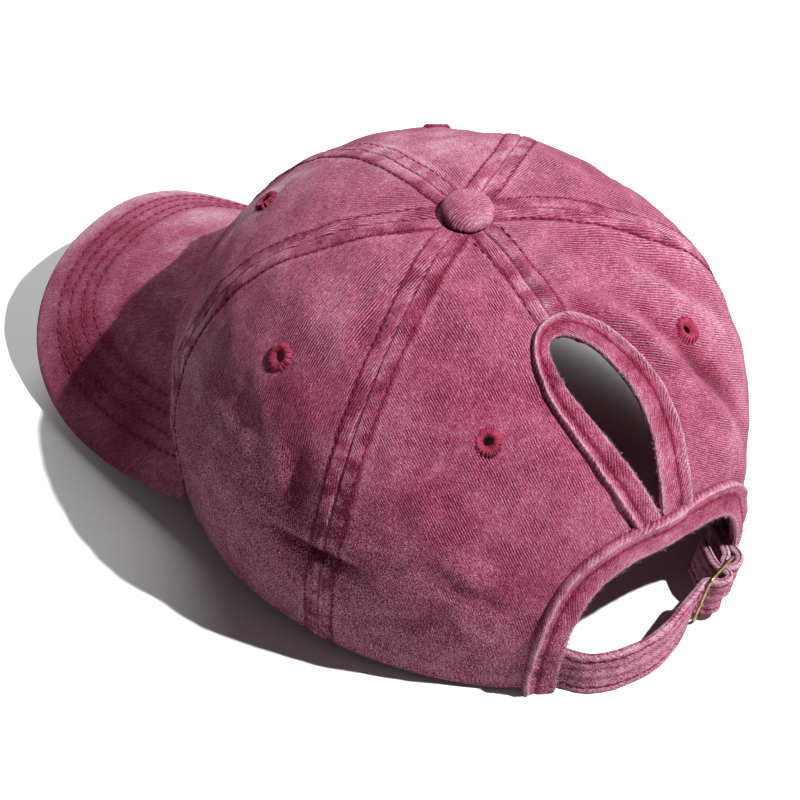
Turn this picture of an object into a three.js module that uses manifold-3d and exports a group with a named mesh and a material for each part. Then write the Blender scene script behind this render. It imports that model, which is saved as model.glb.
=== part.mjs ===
// A washed six-panel ponytail cap standing on a table, in millimetres with +Z up.
// The peak points to -Y and the wearer's left is +X. Angles are in degrees.
// A place on the crown is (turn, climb): turn goes around the head, 0 at the front and 90 at the
// wearer's left, and climb goes up the panel, 0 at the rim and 90 at the button.
import * as THREE from "three";
import { mergeVertices } from "three/addons/utils/BufferGeometryUtils.js";
import Module from "manifold-3d";

const wasm = await Module();
wasm.setup();

// Crown
const HALF_WIDTH = 85.9;
const HALF_LENGTH = 98.1;
const CROWN_HEIGHT = 108.5;
const HEIGHT_POWER = 0.674;
const FULLNESS = { front: 0.895, back: 1.041, side: 0.789 };
const CROWN_LEAN = { x: 0.85, y: -1.32 };
const REAR_TILT = 3.96;
const TILT_LINE_Y = 80.3;
const RIM_CLEARANCE = 0.9;
const WALL = 1.6;
const SIDE_TUCK = { share: 0.038, level: 0.22 };
const SEAM_GAP = 0.36;
const TOP_CLIMB = 88.8;
const PANEL_STEPS = { across: 11, up: 15 };
const ROW_POWER = 1.35;
const SWING_POWER = 1.2;

// How the washed cloth has slumped: parts of the radius that come and go round the head
const SLUMPS = [
  { turns: 1, rimCos: -0.015, rimSin: 0.013, midCos: -0.055, midSin: -0.003 },
  { turns: 2, rimCos: -0.006, rimSin: -0.001, midCos: -0.021, midSin: 0.027 },
  { turns: 3, rimCos: -0.023, rimSin: -0.017, midCos: 0.022, midSin: -0.01 },
];

// Broad dents in the cloth, each a soft trough along a line from one place to another
const DENTS = [
  { turnA: 98, climbA: 14, turnB: 121, climbB: 16, depth: 1.6, reach: 8 },
  { turnA: 102, climbA: 33, turnB: 104, climbB: 22, depth: 1.3, reach: 8 },
  { turnA: 131, climbA: 17, turnB: 148, climbB: 10, depth: 1.5, reach: 8 },
  { turnA: 192, climbA: 60, turnB: 212, climbB: 30, depth: 1.5, reach: 9 },
  { turnA: 225, climbA: 62, turnB: 232, climbB: 35, depth: 1.5, reach: 9 },
];
const DENT_END = 0.25;

// The rim rises over the bent peak, and is drawn down at the peak's right corner
const FRONT_LIFT = { height: 27, turn: 18, reach: 62 };
const CORNER_DIP = { height: 6, turn: -42, reach: 16 };

// Seams from the button to the rim: middle turn, bow of the middle, and swing at the rim
const SEAMS = {
  front: { turn: 0, bow: 0, swing: 15 },
  leftFront: { turn: 65.8, bow: -7, swing: 0 },
  leftRear: { turn: 109.1, bow: 2.4, swing: 0 },
  back: { turn: 180, bow: -6.4, swing: 0 },
  rightRear: { turn: 250.9, bow: -9.1, swing: 10 },
  rightFront: { turn: 294.2, bow: 0, swing: 26 },
};
const PANELS = [
  { name: "front_left_panel", from: "front", to: "leftFront" },
  { name: "left_side_panel", from: "leftFront", to: "leftRear" },
  { name: "back_left_panel", from: "leftRear", to: "back" },
  { name: "back_right_panel", from: "back", to: "rightRear" },
  { name: "right_side_panel", from: "rightRear", to: "rightFront" },
  { name: "front_right_panel", from: "rightFront", to: "front" },
];

// Embroidered air holes, one in each panel
const EYELET = { hole: 2.4, outer: 8.2, height: 2.8, sunk: 0.2, seat: 0.35, around: 16 };
const BORE = { long: 12, around: 20 };
const EYELETS = [
  { name: "front_left_eyelet", panel: "front_left_panel", turn: 30, climb: 45 },
  { name: "left_side_eyelet", panel: "left_side_panel", turn: 87, climb: 46.5 },
  { name: "back_left_eyelet", panel: "back_left_panel", turn: 141.7, climb: 45.1 },
  { name: "back_right_eyelet", panel: "back_right_panel", turn: 213.4, climb: 48.3 },
  { name: "right_side_eyelet", panel: "right_side_panel", turn: 273.8, climb: 38.3 },
  { name: "front_right_eyelet", panel: "front_right_panel", turn: 324.8, climb: 50.2 },
];

// Rear arch above the strap, seen from behind: raw inner edge and folded outer ridge
const ARCH = { innerHalf: 34.6, innerTop: 50.5, outerHalf: 42.8, outerTop: 60.2, power: 3 };
const ARCH_FOOT = 0.5;
const ARCH_STEPS = { along: 46, across: 4 };
const ARCH_CUT = { below: 12, from: 55, to: 130, steps: 40 };

// Ponytail hole: a drop with its point down, on the back seam
const HOLE = { foot: 26.3, head: 61, half: 22.6, middle: 1.2, drift: 4, lean: 1.15 };
const HOLE_RIDGE = { foot: 12, head: 64.7, half: 44, middle: 1.2, drift: 0.8, lean: 0.9 };
const DRIFT_POWER = 2.5;
const HOLE_POINT = 0.5;
const HOLE_CUT_REACH = 9;
const HOLE_STEPS = { along: 24, across: 4 };

// Bound edges: a folded strip of cloth with a fatter outer fold
const BINDING = { gap: 0.45, flat: 1.2, ridge: 2.2, lip: 0.8, setBack: 0.8 };
const RIDGE = { at: 0.82, reach: 0.16, lipFrom: 0.92 };
const BINDING_COLUMNS = [0, 0.35, 0.66, 0.88, 1];

// Peak: a bent board in cloth, turned to the wearer's left with the front of the crown
const PEAK = {
  turn: 12,
  shiftX: 2.5,
  half: 70.2,
  depth: 112.8,
  startY: -39.6,
  power: 3.14,
  crest: 42.6,
  fall: -0.227,
  lift: 0.00058,
  bend: 0.0086,
  tilt: 0.011,
  crownY: -92.7,
};
const PEAK_THICK = 3;
const PEAK_GAP = 0.4;
const PEAK_BLEND = 14;
const PEAK_FAN_Y = -20;
const PEAK_FAN = { turnFrom: -70, turnTo: 100, leastReach: 1.6, startAngle: 30, ease: 0.35 };
const PEAK_STEPS = { along: 42, across: 7 };

// Button on top
const BUTTON = { radius: 8.1, height: 5.6, gap: 0.4, rim: 1.2, side: 1.6 };
const BUTTON_DOME = { steps: 5, across: 0.55, up: 1.1, around: 22 };

// Brass slide: three bars and two rails of flat wire, leaning out with the strap
const SLIDE = { x: -22.6, y: 98.7, z: 12.1, heading: 192.4, lean: 9.7 };
const SLIDE_BODY = { long: 14.4, tall: 23, wire: 1.3, thick: 1, middle: 1.2 };

// Strap and its short tab: bands standing on edge
const STRAP = { tall: 17.4, thick: 2, steps: 64 };
const TAB = { ply: 1.5, slack: 0.5, between: 0.4, steps: 48 };

// Long strap along the floor from inside the left end of the arch: x, y, height of its lower edge
const STRAP_ROUTE = [
  { x: 43.6, y: 77, foot: 0 },
  { x: 39.1, y: 80.8, foot: 0 },
  { x: 35.2, y: 84.6, foot: 0 },
  { x: 31.9, y: 89.9, foot: 0 },
  { x: 28.4, y: 95.6, foot: 0 },
  { x: 21.5, y: 100.2, foot: 0 },
  { x: 13, y: 102.4, foot: 0 },
  { x: 4, y: 103, foot: 0 },
  { x: -4.5, y: 101.2, foot: 0.4 },
];
// Its way through the slide: along the slide's length, and out from its plane
const STRAP_IN_SLIDE = [
  { along: -12.7, out: -1.5 },
  { along: -8.2, out: -2 },
  { along: -5.2, out: -1.9 },
  { along: -3.4, out: 0 },
  { along: -2.2, out: 2 },
  { along: 0, out: 3 },
  { along: 1.6, out: 2.5 },
  { along: 2.33, out: 0.9 },
  { along: 2.35, out: -1.3 },
  { along: 3.2, out: -3.9 },
  { along: 4.7, out: -6.2 },
  { along: 6.8, out: -9 },
  { along: 8.6, out: -11.4 },
];
// Middle line of the tab, from the slide's far bar to inside the right end of the arch
const TAB_ROUTE = [
  { along: 6.55, out: 0, lean: 1 },
  { along: 8.8, out: -0.7, lean: 1 },
  { along: 10.6, out: -5.2, lean: 0.5 },
  { along: 12.6, out: -9.8, lean: 0.3 },
  { along: 15.6, out: -13.2, lean: 0 },
  { along: 20.3, out: -14, lean: 0 },
];

// Puts the middle of the whole outline over the origin, with the lowest point on the table
const PLACE = { x: -3.08, y: 24.1, z: 0 };

// Rounds and step of the searches for a place on the crown
const SEARCH = { rounds: 12, step: 0.2 };

const rad = THREE.MathUtils.degToRad;
const deg = THREE.MathUtils.radToDeg;
const lerp = THREE.MathUtils.lerp;
const bell = (d) => Math.exp(-d * d);
const around = (d) => ((((d + 180) % 360) + 360) % 360) - 180;

function rimLift(turn) {
  const fromCrest = Math.abs(around(turn - FRONT_LIFT.turn)) / FRONT_LIFT.reach;
  const wave = fromCrest < 1 ? 0.5 * (1 + Math.cos(Math.PI * fromCrest)) : 0;
  const dip = CORNER_DIP.height * bell(around(turn - CORNER_DIP.turn) / CORNER_DIP.reach);
  return RIM_CLEARANCE + FRONT_LIFT.height * wave - dip;
}

// Depth of the dents at one place, with lengths taken as on a ball of the crown's size
function dentDepth(turn, climb) {
  const perTurn = rad(HALF_WIDTH * Math.cos(rad(climb) * 0.8));
  const perClimb = rad(CROWN_HEIGHT);
  let depth = 0;
  for (const d of DENTS) {
    const px = around(turn - d.turnA) * perTurn;
    const py = (climb - d.climbA) * perClimb;
    const bx = around(d.turnB - d.turnA) * perTurn;
    const by = (d.climbB - d.climbA) * perClimb;
    const k = (px * bx + py * by) / (bx * bx + by * by);
    const off = Math.hypot(px - bx * k, py - by * k);
    const past = Math.max(0, Math.abs(k - 0.5) - DENT_END) / DENT_END;
    depth += d.depth * bell(off / d.reach) * bell(past);
  }
  return depth;
}

// The outer face of the crown, before its dents
function plainCrown(turn, climb) {
  const c = Math.cos(rad(climb));
  const s = Math.sin(rad(climb));
  const frontness = (1 + Math.cos(rad(turn))) / 2;
  const sideness = Math.sin(rad(turn)) ** 2;
  const endPower = lerp(FULLNESS.back, FULLNESS.front, frontness);
  const height = CROWN_HEIGHT * s ** HEIGHT_POWER;
  const level = height / CROWN_HEIGHT;
  let radius = c ** lerp(endPower, FULLNESS.side, sideness);
  radius *= 1 - SIDE_TUCK.share * sideness * bell(level / SIDE_TUCK.level);
  let slump = 0;
  const mid = Math.sin(2 * rad(climb)) ** 2;
  for (const w of SLUMPS) {
    const cosine = Math.cos(w.turns * rad(turn));
    const sine = Math.sin(w.turns * rad(turn));
    slump += (w.rimCos * cosine + w.rimSin * sine) * c * c;
    slump += (w.midCos * cosine + w.midSin * sine) * mid;
  }
  radius *= 1 + slump;
  const x = HALF_WIDTH * Math.sin(rad(turn)) * radius + CROWN_LEAN.x * level ** 2;
  const y = -HALF_LENGTH * Math.cos(rad(turn)) * radius + CROWN_LEAN.y * level ** 2;
  const z = height + rimLift(turn) * (1 - level) ** 2;
  const ct = Math.cos(rad(REAR_TILT));
  const st = Math.sin(rad(REAR_TILT));
  const fromLine = y - TILT_LINE_Y;
  return new THREE.Vector3(x, TILT_LINE_Y + fromLine * ct + z * st, z * ct - fromLine * st);
}

// Outward normal. The step is even in reach so that it stays sound at the rim and at the top.
function crownNormal(turn, climb) {
  const low = Math.max(climb - 1, 0);
  const high = Math.min(climb + 1, 89.5);
  const side = plainCrown(turn + 1, climb).sub(plainCrown(turn - 1, climb));
  const up = plainCrown(turn, high).sub(plainCrown(turn, low));
  return side.cross(up).normalize();
}

// A point of the crown, lifted by the given amount off its outer face
function crownPoint(turn, climb, off = 0) {
  const n = crownNormal(turn, climb);
  return plainCrown(turn, climb).addScaledVector(n, off - dentDepth(turn, climb));
}

function seamTurn(seam, climb) {
  const s = SEAMS[seam];
  const c = rad(climb);
  return s.turn + s.bow * Math.sin(2 * c) + s.swing * (1 - Math.sin(c)) ** SWING_POWER;
}

// The place on the back of the crown that is seen at x and z from behind
function onBack(x, z) {
  let turn = 180 - deg(Math.asin(THREE.MathUtils.clamp(x / HALF_WIDTH, -0.9, 0.9)));
  let climb = 90 * Math.min(0.9, z / CROWN_HEIGHT) ** 1.5;
  for (let k = 0; k < SEARCH.rounds; k += 1) {
    const p = plainCrown(turn, climb);
    const dTurn = plainCrown(turn + SEARCH.step, climb).sub(p).divideScalar(SEARCH.step);
    const dClimb = plainCrown(turn, climb + SEARCH.step).sub(p).divideScalar(SEARCH.step);
    const det = dTurn.x * dClimb.z - dClimb.x * dTurn.z;
    const ex = x - p.x;
    const ez = z - p.z;
    turn += (ex * dClimb.z - ez * dClimb.x) / det;
    climb = THREE.MathUtils.clamp(climb + (ez * dTurn.x - ex * dTurn.z) / det, 0, 80);
  }
  return { turn, climb };
}

// The place on the back of the crown at a given x and climb
function onBackAt(x, climb) {
  let turn = 180;
  for (let k = 0; k < SEARCH.rounds; k += 1) {
    const p = plainCrown(turn, climb);
    const slope = (plainCrown(turn + SEARCH.step, climb).x - p.x) / SEARCH.step;
    turn += (x - p.x) / slope;
  }
  return { turn, climb };
}

// A closed solid between two faces given over u and v from 0 to 1
function faceSolid(outer, inner, stepsU, stepsV) {
  const points = [];
  const faces = [];
  const row = stepsU + 1;
  const sheet = row * (stepsV + 1);
  for (const face of [outer, inner]) {
    for (let j = 0; j <= stepsV; j += 1) {
      for (let i = 0; i <= stepsU; i += 1) {
        points.push(...face(i / stepsU, j / stepsV).toArray());
      }
    }
  }
  const quad = (a, b, c, d) => faces.push(a, b, c, a, c, d);
  for (let j = 0; j < stepsV; j += 1) {
    for (let i = 0; i < stepsU; i += 1) {
      const a = j * row + i;
      quad(a, a + 1, a + 1 + row, a + row);
      quad(a + sheet, a + row + sheet, a + row + 1 + sheet, a + 1 + sheet);
    }
  }
  for (let i = 0; i < stepsU; i += 1) {
    const last = stepsV * row + i;
    quad(i, i + sheet, i + 1 + sheet, i + 1);
    quad(last, last + 1, last + 1 + sheet, last + sheet);
  }
  for (let j = 0; j < stepsV; j += 1) {
    const left = j * row;
    const right = left + stepsU;
    quad(left, left + row, left + row + sheet, left + sheet);
    quad(right, right + sheet, right + row + sheet, right + row);
  }
  return orient(points, faces);
}

// Builds the geometry with its faces pointing out
function orient(points, faces) {
  const at = (i) => new THREE.Vector3().fromArray(points, 3 * i);
  let volume = 0;
  for (let f = 0; f < faces.length; f += 3) {
    volume += at(faces[f]).dot(at(faces[f + 1]).cross(at(faces[f + 2])));
  }
  const index = volume > 0 ? faces : [...faces].reverse();
  const geometry = new THREE.BufferGeometry();
  geometry.setAttribute("position", new THREE.Float32BufferAttribute(points, 3));
  geometry.setIndex(index);
  return geometry;
}

function toSolid(geometry) {
  const bare = geometry.clone();
  bare.deleteAttribute("normal");
  bare.deleteAttribute("uv");
  const merged = mergeVertices(bare, 1e-4);
  const vertProperties = new Float32Array(merged.attributes.position.array);
  const triVerts = new Uint32Array(merged.index.array);
  return new wasm.Manifold(new wasm.Mesh({ numProp: 3, vertProperties, triVerts }));
}

function fromSolid(solid) {
  const mesh = solid.getMesh();
  const geometry = new THREE.BufferGeometry();
  geometry.setAttribute("position", new THREE.Float32BufferAttribute(mesh.vertProperties, 3));
  geometry.setIndex([...mesh.triVerts]);
  return geometry;
}

// Climb for an even spread of rows, which are close together at the steep rim
const rowClimb = (v) => TOP_CLIMB * v ** ROW_POWER;

function panelGeometry(panel) {
  const turnAt = (u, climb) => {
    const from = seamTurn(panel.from, climb);
    let to = seamTurn(panel.to, climb);
    if (to < from) to += 360;
    const radius = Math.max(2, HALF_WIDTH * Math.cos(rad(climb)));
    const margin = deg(SEAM_GAP / 2 / radius);
    return lerp(from + margin, to - margin, u);
  };
  const face = (off) => (u, v) => crownPoint(turnAt(u, rowClimb(v)), rowClimb(v), off);
  return faceSolid(face(0), face(-WALL), PANEL_STEPS.across, PANEL_STEPS.up);
}

// Superellipse of the arch, from its left foot (0) over its top (0.5) to its right foot (1)
function archWave(part) {
  const a = Math.PI * part;
  const across = Math.sign(Math.cos(a)) * Math.abs(Math.cos(a)) ** (2 / ARCH.power);
  return { across, rise: Math.sin(a) ** (2 / ARCH.power) };
}

function archCutter() {
  const half = ARCH.innerHalf + BINDING.setBack;
  const top = ARCH.innerTop + BINDING.setBack;
  const shape = new THREE.Shape();
  shape.moveTo(half, -ARCH_CUT.below);
  for (let i = 0; i <= ARCH_CUT.steps; i += 1) {
    const at = archWave(i / ARCH_CUT.steps);
    shape.lineTo(half * at.across, top * at.rise);
  }
  shape.lineTo(-half, -ARCH_CUT.below);
  shape.closePath();
  const depth = ARCH_CUT.to - ARCH_CUT.from;
  const geometry = new THREE.ExtrudeGeometry(shape, { depth, bevelEnabled: false });
  geometry.rotateX(Math.PI / 2);
  geometry.translate(0, ARCH_CUT.to, 0);
  return geometry;
}

// Half width of a drop at a part of its climb, and x of its middle
const dropHalf = (drop, part) => drop.half * part ** drop.lean * Math.sqrt(Math.max(0, 1 - part));
const dropMiddle = (drop, part) => drop.middle + drop.drift * part ** DRIFT_POWER;

// Point of the hole's edge: side is 1 on the wearer's left and -1 on the right
function holeEdge(side, part, grow = 0) {
  const span = (HOLE.head + grow / 2 - HOLE.foot) * part;
  const half = Math.max(HOLE_POINT, dropHalf(HOLE, part) + grow);
  return { x: dropMiddle(HOLE, part) + side * half, climb: HOLE.foot + span };
}
function holeRidge(side, part) {
  const climb = lerp(HOLE.foot, HOLE_RIDGE.head, part);
  const own = (climb - HOLE_RIDGE.foot) / (HOLE_RIDGE.head - HOLE_RIDGE.foot);
  return { x: dropMiddle(HOLE_RIDGE, own) + side * dropHalf(HOLE_RIDGE, own), climb };
}

function holeCutter() {
  const face = (off) => (u, v) => {
    const part = 1 - (1 - v) ** 2;
    const a = holeEdge(1, part, BINDING.setBack);
    const b = holeEdge(-1, part, BINDING.setBack);
    const place = onBackAt(lerp(a.x, b.x, u), lerp(a.climb, b.climb, u));
    return crownPoint(place.turn, place.climb, off);
  };
  return faceSolid(face(HOLE_CUT_REACH), face(-HOLE_CUT_REACH), 2, HOLE_STEPS.along / 2);
}

// Height of a binding's upper face above the crown, from its raw edge (0) to its ridge (1)
function bindingTop(part) {
  const ridge = (BINDING.ridge - BINDING.flat) * bell((part - RIDGE.at) / RIDGE.reach);
  const pastRidge = Math.max(0, part - RIDGE.lipFrom) / (1 - RIDGE.lipFrom);
  return BINDING.gap + BINDING.flat + ridge + (BINDING.lip - BINDING.flat) * pastRidge;
}
const bindingColumn = (u) => BINDING_COLUMNS[Math.round(u * (BINDING_COLUMNS.length - 1))];

function archBinding() {
  const face = (top) => (u, v) => {
    const column = bindingColumn(u);
    const at = archWave(v);
    const x = at.across * lerp(ARCH.innerHalf, ARCH.outerHalf, column);
    const z = at.rise * lerp(ARCH.innerTop, ARCH.outerTop, column);
    const p = onBack(x, Math.max(z, ARCH_FOOT));
    return crownPoint(p.turn, p.climb, top ? bindingTop(column) : BINDING.gap);
  };
  return faceSolid(face(true), face(false), ARCH_STEPS.across, ARCH_STEPS.along);
}

function holeBinding() {
  const face = (top) => (u, v) => {
    const side = v < 0.5 ? 1 : -1;
    const reach = v < 0.5 ? v * 2 : 2 - v * 2;
    const part = 1 - (1 - reach) ** 2;
    const a = holeEdge(side, part);
    const b = holeRidge(side, part);
    const column = bindingColumn(u);
    const p = onBackAt(lerp(a.x, b.x, column), lerp(a.climb, b.climb, column));
    return crownPoint(p.turn, p.climb, top ? bindingTop(column) : BINDING.gap);
  };
  return faceSolid(face(true), face(false), HOLE_STEPS.across, 2 * HOLE_STEPS.along);
}

// Peak: from its own frame, turned about the crown's axis, to the cap's frame
function peakToCap(x, y) {
  const c = Math.cos(rad(PEAK.turn));
  const s = Math.sin(rad(PEAK.turn));
  return { x: (x + PEAK.shiftX) * c - y * s, y: (x + PEAK.shiftX) * s + y * c };
}
function capToPeak(p) {
  const c = Math.cos(rad(PEAK.turn));
  const s = Math.sin(rad(PEAK.turn));
  return { x: p.x * c + p.y * s - PEAK.shiftX, y: p.y * c - p.x * s };
}
function peakHeight(x, y) {
  const ahead = PEAK.crownY - y;
  return PEAK.crest + PEAK.fall * ahead + PEAK.lift * ahead ** 2 - PEAK.bend * x * x + PEAK.tilt * x;
}

// The rim of the crown as rays from the peak's fan centre: angle, reach and height
const RIM_FAN = [];
for (let turn = PEAK_FAN.turnFrom; turn <= PEAK_FAN.turnTo; turn += 1) {
  const at = plainCrown(turn, 0);
  const outward = crownNormal(turn, 0);
  outward.z = 0;
  at.addScaledVector(outward.normalize(), PEAK_GAP);
  const p = capToPeak(at);
  const reach = Math.hypot(p.x, p.y - PEAK_FAN_Y);
  RIM_FAN.push({ angle: deg(Math.atan2(p.x, PEAK_FAN_Y - p.y)), reach, z: at.z });
}
RIM_FAN.sort((a, b) => a.angle - b.angle);
function rimAt(angle) {
  const k = Math.max(1, RIM_FAN.findIndex((r) => r.angle > angle));
  const a = RIM_FAN[k - 1];
  const b = RIM_FAN[k];
  const part = (angle - a.angle) / (b.angle - a.angle);
  return { reach: lerp(a.reach, b.reach, part), z: lerp(a.z, b.z, part) };
}
function peakReach(angle) {
  const dx = Math.sin(rad(angle));
  const dy = Math.cos(rad(angle));
  let low = 20;
  let high = 200;
  for (let k = 0; k < 40; k += 1) {
    const reach = (low + high) / 2;
    const ahead = PEAK.startY - PEAK_FAN_Y + reach * dy;
    const inside = (Math.abs(reach * dx) / PEAK.half) ** PEAK.power
      + (Math.max(0, ahead) / PEAK.depth) ** PEAK.power < 1;
    if (inside) low = reach;
    else high = reach;
  }
  return low;
}
// The fan stops where the peak's edge comes within a hair of the rim
function cornerAngle(sign) {
  const reachAt = (angle) => peakReach(sign * angle) - rimAt(sign * angle).reach;
  let angle = PEAK_FAN.startAngle;
  while (reachAt(angle) > PEAK_FAN.leastReach) angle += 0.25;
  return sign * angle;
}
const FAN_LEFT = cornerAngle(1);
const FAN_RIGHT = cornerAngle(-1);

function peakGeometry() {
  const point = (u, v) => {
    const spread = 0.5 - 0.5 * Math.cos(Math.PI * u);
    const angle = lerp(FAN_RIGHT, FAN_LEFT, lerp(u, spread, PEAK_FAN.ease));
    const rim = rimAt(angle);
    const reach = lerp(rim.reach, peakReach(angle), v);
    const x = reach * Math.sin(rad(angle));
    const y = PEAK_FAN_Y - reach * Math.cos(rad(angle));
    const rimX = rim.reach * Math.sin(rad(angle));
    const rimY = PEAK_FAN_Y - rim.reach * Math.cos(rad(angle));
    const miss = rim.z + PEAK_THICK / 2 - peakHeight(rimX, rimY);
    const z = peakHeight(x, y) + miss * bell((reach - rim.reach) / PEAK_BLEND);
    const at = peakToCap(x, y);
    return new THREE.Vector3(at.x, at.y, z);
  };
  const face = (side) => (u, v) => {
    const p = point(u, v);
    p.z += (side * PEAK_THICK) / 2;
    return p;
  };
  return faceSolid(face(1), face(-1), PEAK_STEPS.along, PEAK_STEPS.across);
}

function buttonGeometry() {
  const profile = [new THREE.Vector2(0, 0), new THREE.Vector2(BUTTON.radius - BUTTON.rim, 0)];
  profile.push(new THREE.Vector2(BUTTON.radius, BUTTON.rim));
  for (let i = 0; i <= BUTTON_DOME.steps; i += 1) {
    const a = (i / BUTTON_DOME.steps) * (Math.PI / 2);
    const r = BUTTON.radius * Math.cos(a) ** BUTTON_DOME.across;
    const rise = (BUTTON.height - BUTTON.side) * Math.sin(a) ** BUTTON_DOME.up;
    profile.push(new THREE.Vector2(r, BUTTON.side + rise));
  }
  profile[profile.length - 1].x = 0;
  return new THREE.LatheGeometry(profile, BUTTON_DOME.around);
}

function eyeletGeometry() {
  const r0 = EYELET.hole / 2;
  const r1 = EYELET.outer / 2;
  const mid = (r0 + r1) / 2;
  const h = EYELET.height / 2;
  const low = [[r0, -h / 2], [mid, -h], [r1, -h / 2]];
  const high = [[r1, h / 2], [mid, h], [r0, h / 2]];
  const profile = [...low, ...high, low[0]].map(([r, y]) => new THREE.Vector2(r, y));
  return new THREE.LatheGeometry(profile, EYELET.around);
}

// Stands a turned piece, made about Y, on the crown
function placeOnCrown(mesh, turn, climb, off) {
  mesh.position.copy(crownPoint(turn, climb, off));
  mesh.quaternion.setFromUnitVectors(new THREE.Vector3(0, 1, 0), crownNormal(turn, climb));
  return mesh;
}

// Slide directions: along its length, up its bars, and out of its plane
const SLIDE_ALONG = new THREE.Vector3(Math.cos(rad(SLIDE.heading)), Math.sin(rad(SLIDE.heading)), 0);
const OUT_FLAT = new THREE.Vector3(SLIDE_ALONG.y, -SLIDE_ALONG.x, 0);
const LEAN_SLOPE = Math.tan(rad(SLIDE.lean));
const SLIDE_UP = new THREE.Vector3(0, 0, 1).addScaledVector(OUT_FLAT, LEAN_SLOPE).normalize();
const SLIDE_OUT = new THREE.Vector3().crossVectors(SLIDE_ALONG, SLIDE_UP);

function slidePlan(along, out, lean) {
  const x = SLIDE.x + SLIDE_ALONG.x * along + SLIDE_ALONG.y * out;
  const y = SLIDE.y + SLIDE_ALONG.y * along - SLIDE_ALONG.x * out;
  return { x, y, lean };
}

function slideGeometry() {
  const { long, tall, wire, thick, middle } = SLIDE_BODY;
  const slotLong = (long - middle) / 2 - wire;
  let frame = toSolid(new THREE.BoxGeometry(long, tall, thick));
  for (const side of [-1, 1]) {
    const slot = new THREE.BoxGeometry(slotLong, tall - 2 * wire, 3 * thick);
    slot.translate((side * (middle + slotLong)) / 2, 0, 0);
    frame = frame.subtract(toSolid(slot));
  }
  return fromSolid(frame);
}

// A band on edge that follows stations { x, y, foot, lean } in plan
function bandGeometry(stations, thick, tall, steps) {
  const places = stations.map((s) => new THREE.Vector3(s.x, s.y, s.foot));
  const plan = new THREE.CatmullRomCurve3(places, false, "centripetal");
  const leans = new THREE.CatmullRomCurve3(stations.map((s) => new THREE.Vector3(s.lean, 0, 0)));
  const face = (side) => (u, v) => {
    const p = plan.getPoint(v);
    const tangent = plan.getTangent(v);
    const lean = THREE.MathUtils.clamp(leans.getPoint(v).x, 0, 1);
    const size = Math.hypot(tangent.x, tangent.y);
    const z = Math.max(0, p.z) + tall * u;
    const shift = lean * LEAN_SLOPE * (z - SLIDE.z);
    const x = p.x + (side * thick * 0.5 * tangent.y) / size + OUT_FLAT.x * shift;
    const y = p.y - (side * thick * 0.5 * tangent.x) / size + OUT_FLAT.y * shift;
    return new THREE.Vector3(x, y, z);
  };
  return faceSolid(face(1), face(-1), 1, steps);
}

const SLIDE_FOOT = SLIDE.z - STRAP.tall / 2;

function strapGeometry() {
  const free = STRAP_ROUTE.map((s) => ({ ...s, lean: 0 }));
  const held = STRAP_IN_SLIDE.map((s) => ({ ...slidePlan(s.along, s.out, 1), foot: SLIDE_FOOT }));
  held[0].lean = 0.5;
  held[0].foot = 0.5 * SLIDE_FOOT;
  return bandGeometry([...free, ...held], STRAP.thick, STRAP.tall, STRAP.steps);
}

// The tab is a strip folded round the slide's far bar: out along one side and back on the other
function tabGeometry() {
  const spread = SLIDE_BODY.wire / 2 + TAB.slack + TAB.ply / 2;
  const outer = [];
  const inner = [];
  TAB_ROUTE.forEach((s, i) => {
    const next = TAB_ROUTE[Math.min(i + 1, TAB_ROUTE.length - 1)];
    const last = TAB_ROUTE[Math.max(i - 1, 0)];
    const da = next.along - last.along;
    const db = next.out - last.out;
    const size = Math.hypot(da, db);
    const apart = i < 2 ? spread : (TAB.ply + TAB.between) / 2;
    const along = (apart * db) / size;
    const out = (apart * da) / size;
    outer.push({ ...slidePlan(s.along - along, s.out + out, s.lean), foot: SLIDE_FOOT });
    inner.push({ ...slidePlan(s.along + along, s.out - out, s.lean), foot: SLIDE_FOOT });
  });
  const start = TAB_ROUTE[0];
  const fold = [45, 0, -45].map((angle) => {
    const along = start.along - spread * Math.cos(rad(angle));
    return { ...slidePlan(along, start.out + spread * Math.sin(rad(angle)), 1), foot: SLIDE_FOOT };
  });
  return bandGeometry([...outer.reverse(), ...fold, ...inner], TAB.ply, STRAP.tall, TAB.steps);
}

const PANEL_CLOTH = { color: [0.4, 0.13, 0.2], roughness: 0.95, metalness: 0 };
const BINDING_CLOTH = { color: [0.45, 0.16, 0.24], roughness: 0.95, metalness: 0 };
const THREAD = { color: [0.36, 0.06, 0.11], roughness: 0.8, metalness: 0 };
const BRASS = { color: [0.45, 0.33, 0.16], roughness: 0.35, metalness: 1 };

const cap = new THREE.Group();
cap.position.set(PLACE.x, PLACE.y, PLACE.z);
function addPiece(name, geometry, finish) {
  const color = new THREE.Color(...finish.color);
  const mesh = new THREE.Mesh(geometry, new THREE.MeshStandardMaterial({ ...finish, color }));
  mesh.name = name;
  cap.add(mesh);
  return mesh;
}

function eyeletBore(eyelet) {
  const radius = EYELET.outer / 2 + EYELET.seat;
  const bore = new THREE.Mesh(new THREE.CylinderGeometry(radius, radius, BORE.long, BORE.around));
  placeOnCrown(bore, eyelet.turn, eyelet.climb, 0);
  bore.updateMatrix();
  return bore.geometry.applyMatrix4(bore.matrix);
}

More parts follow.
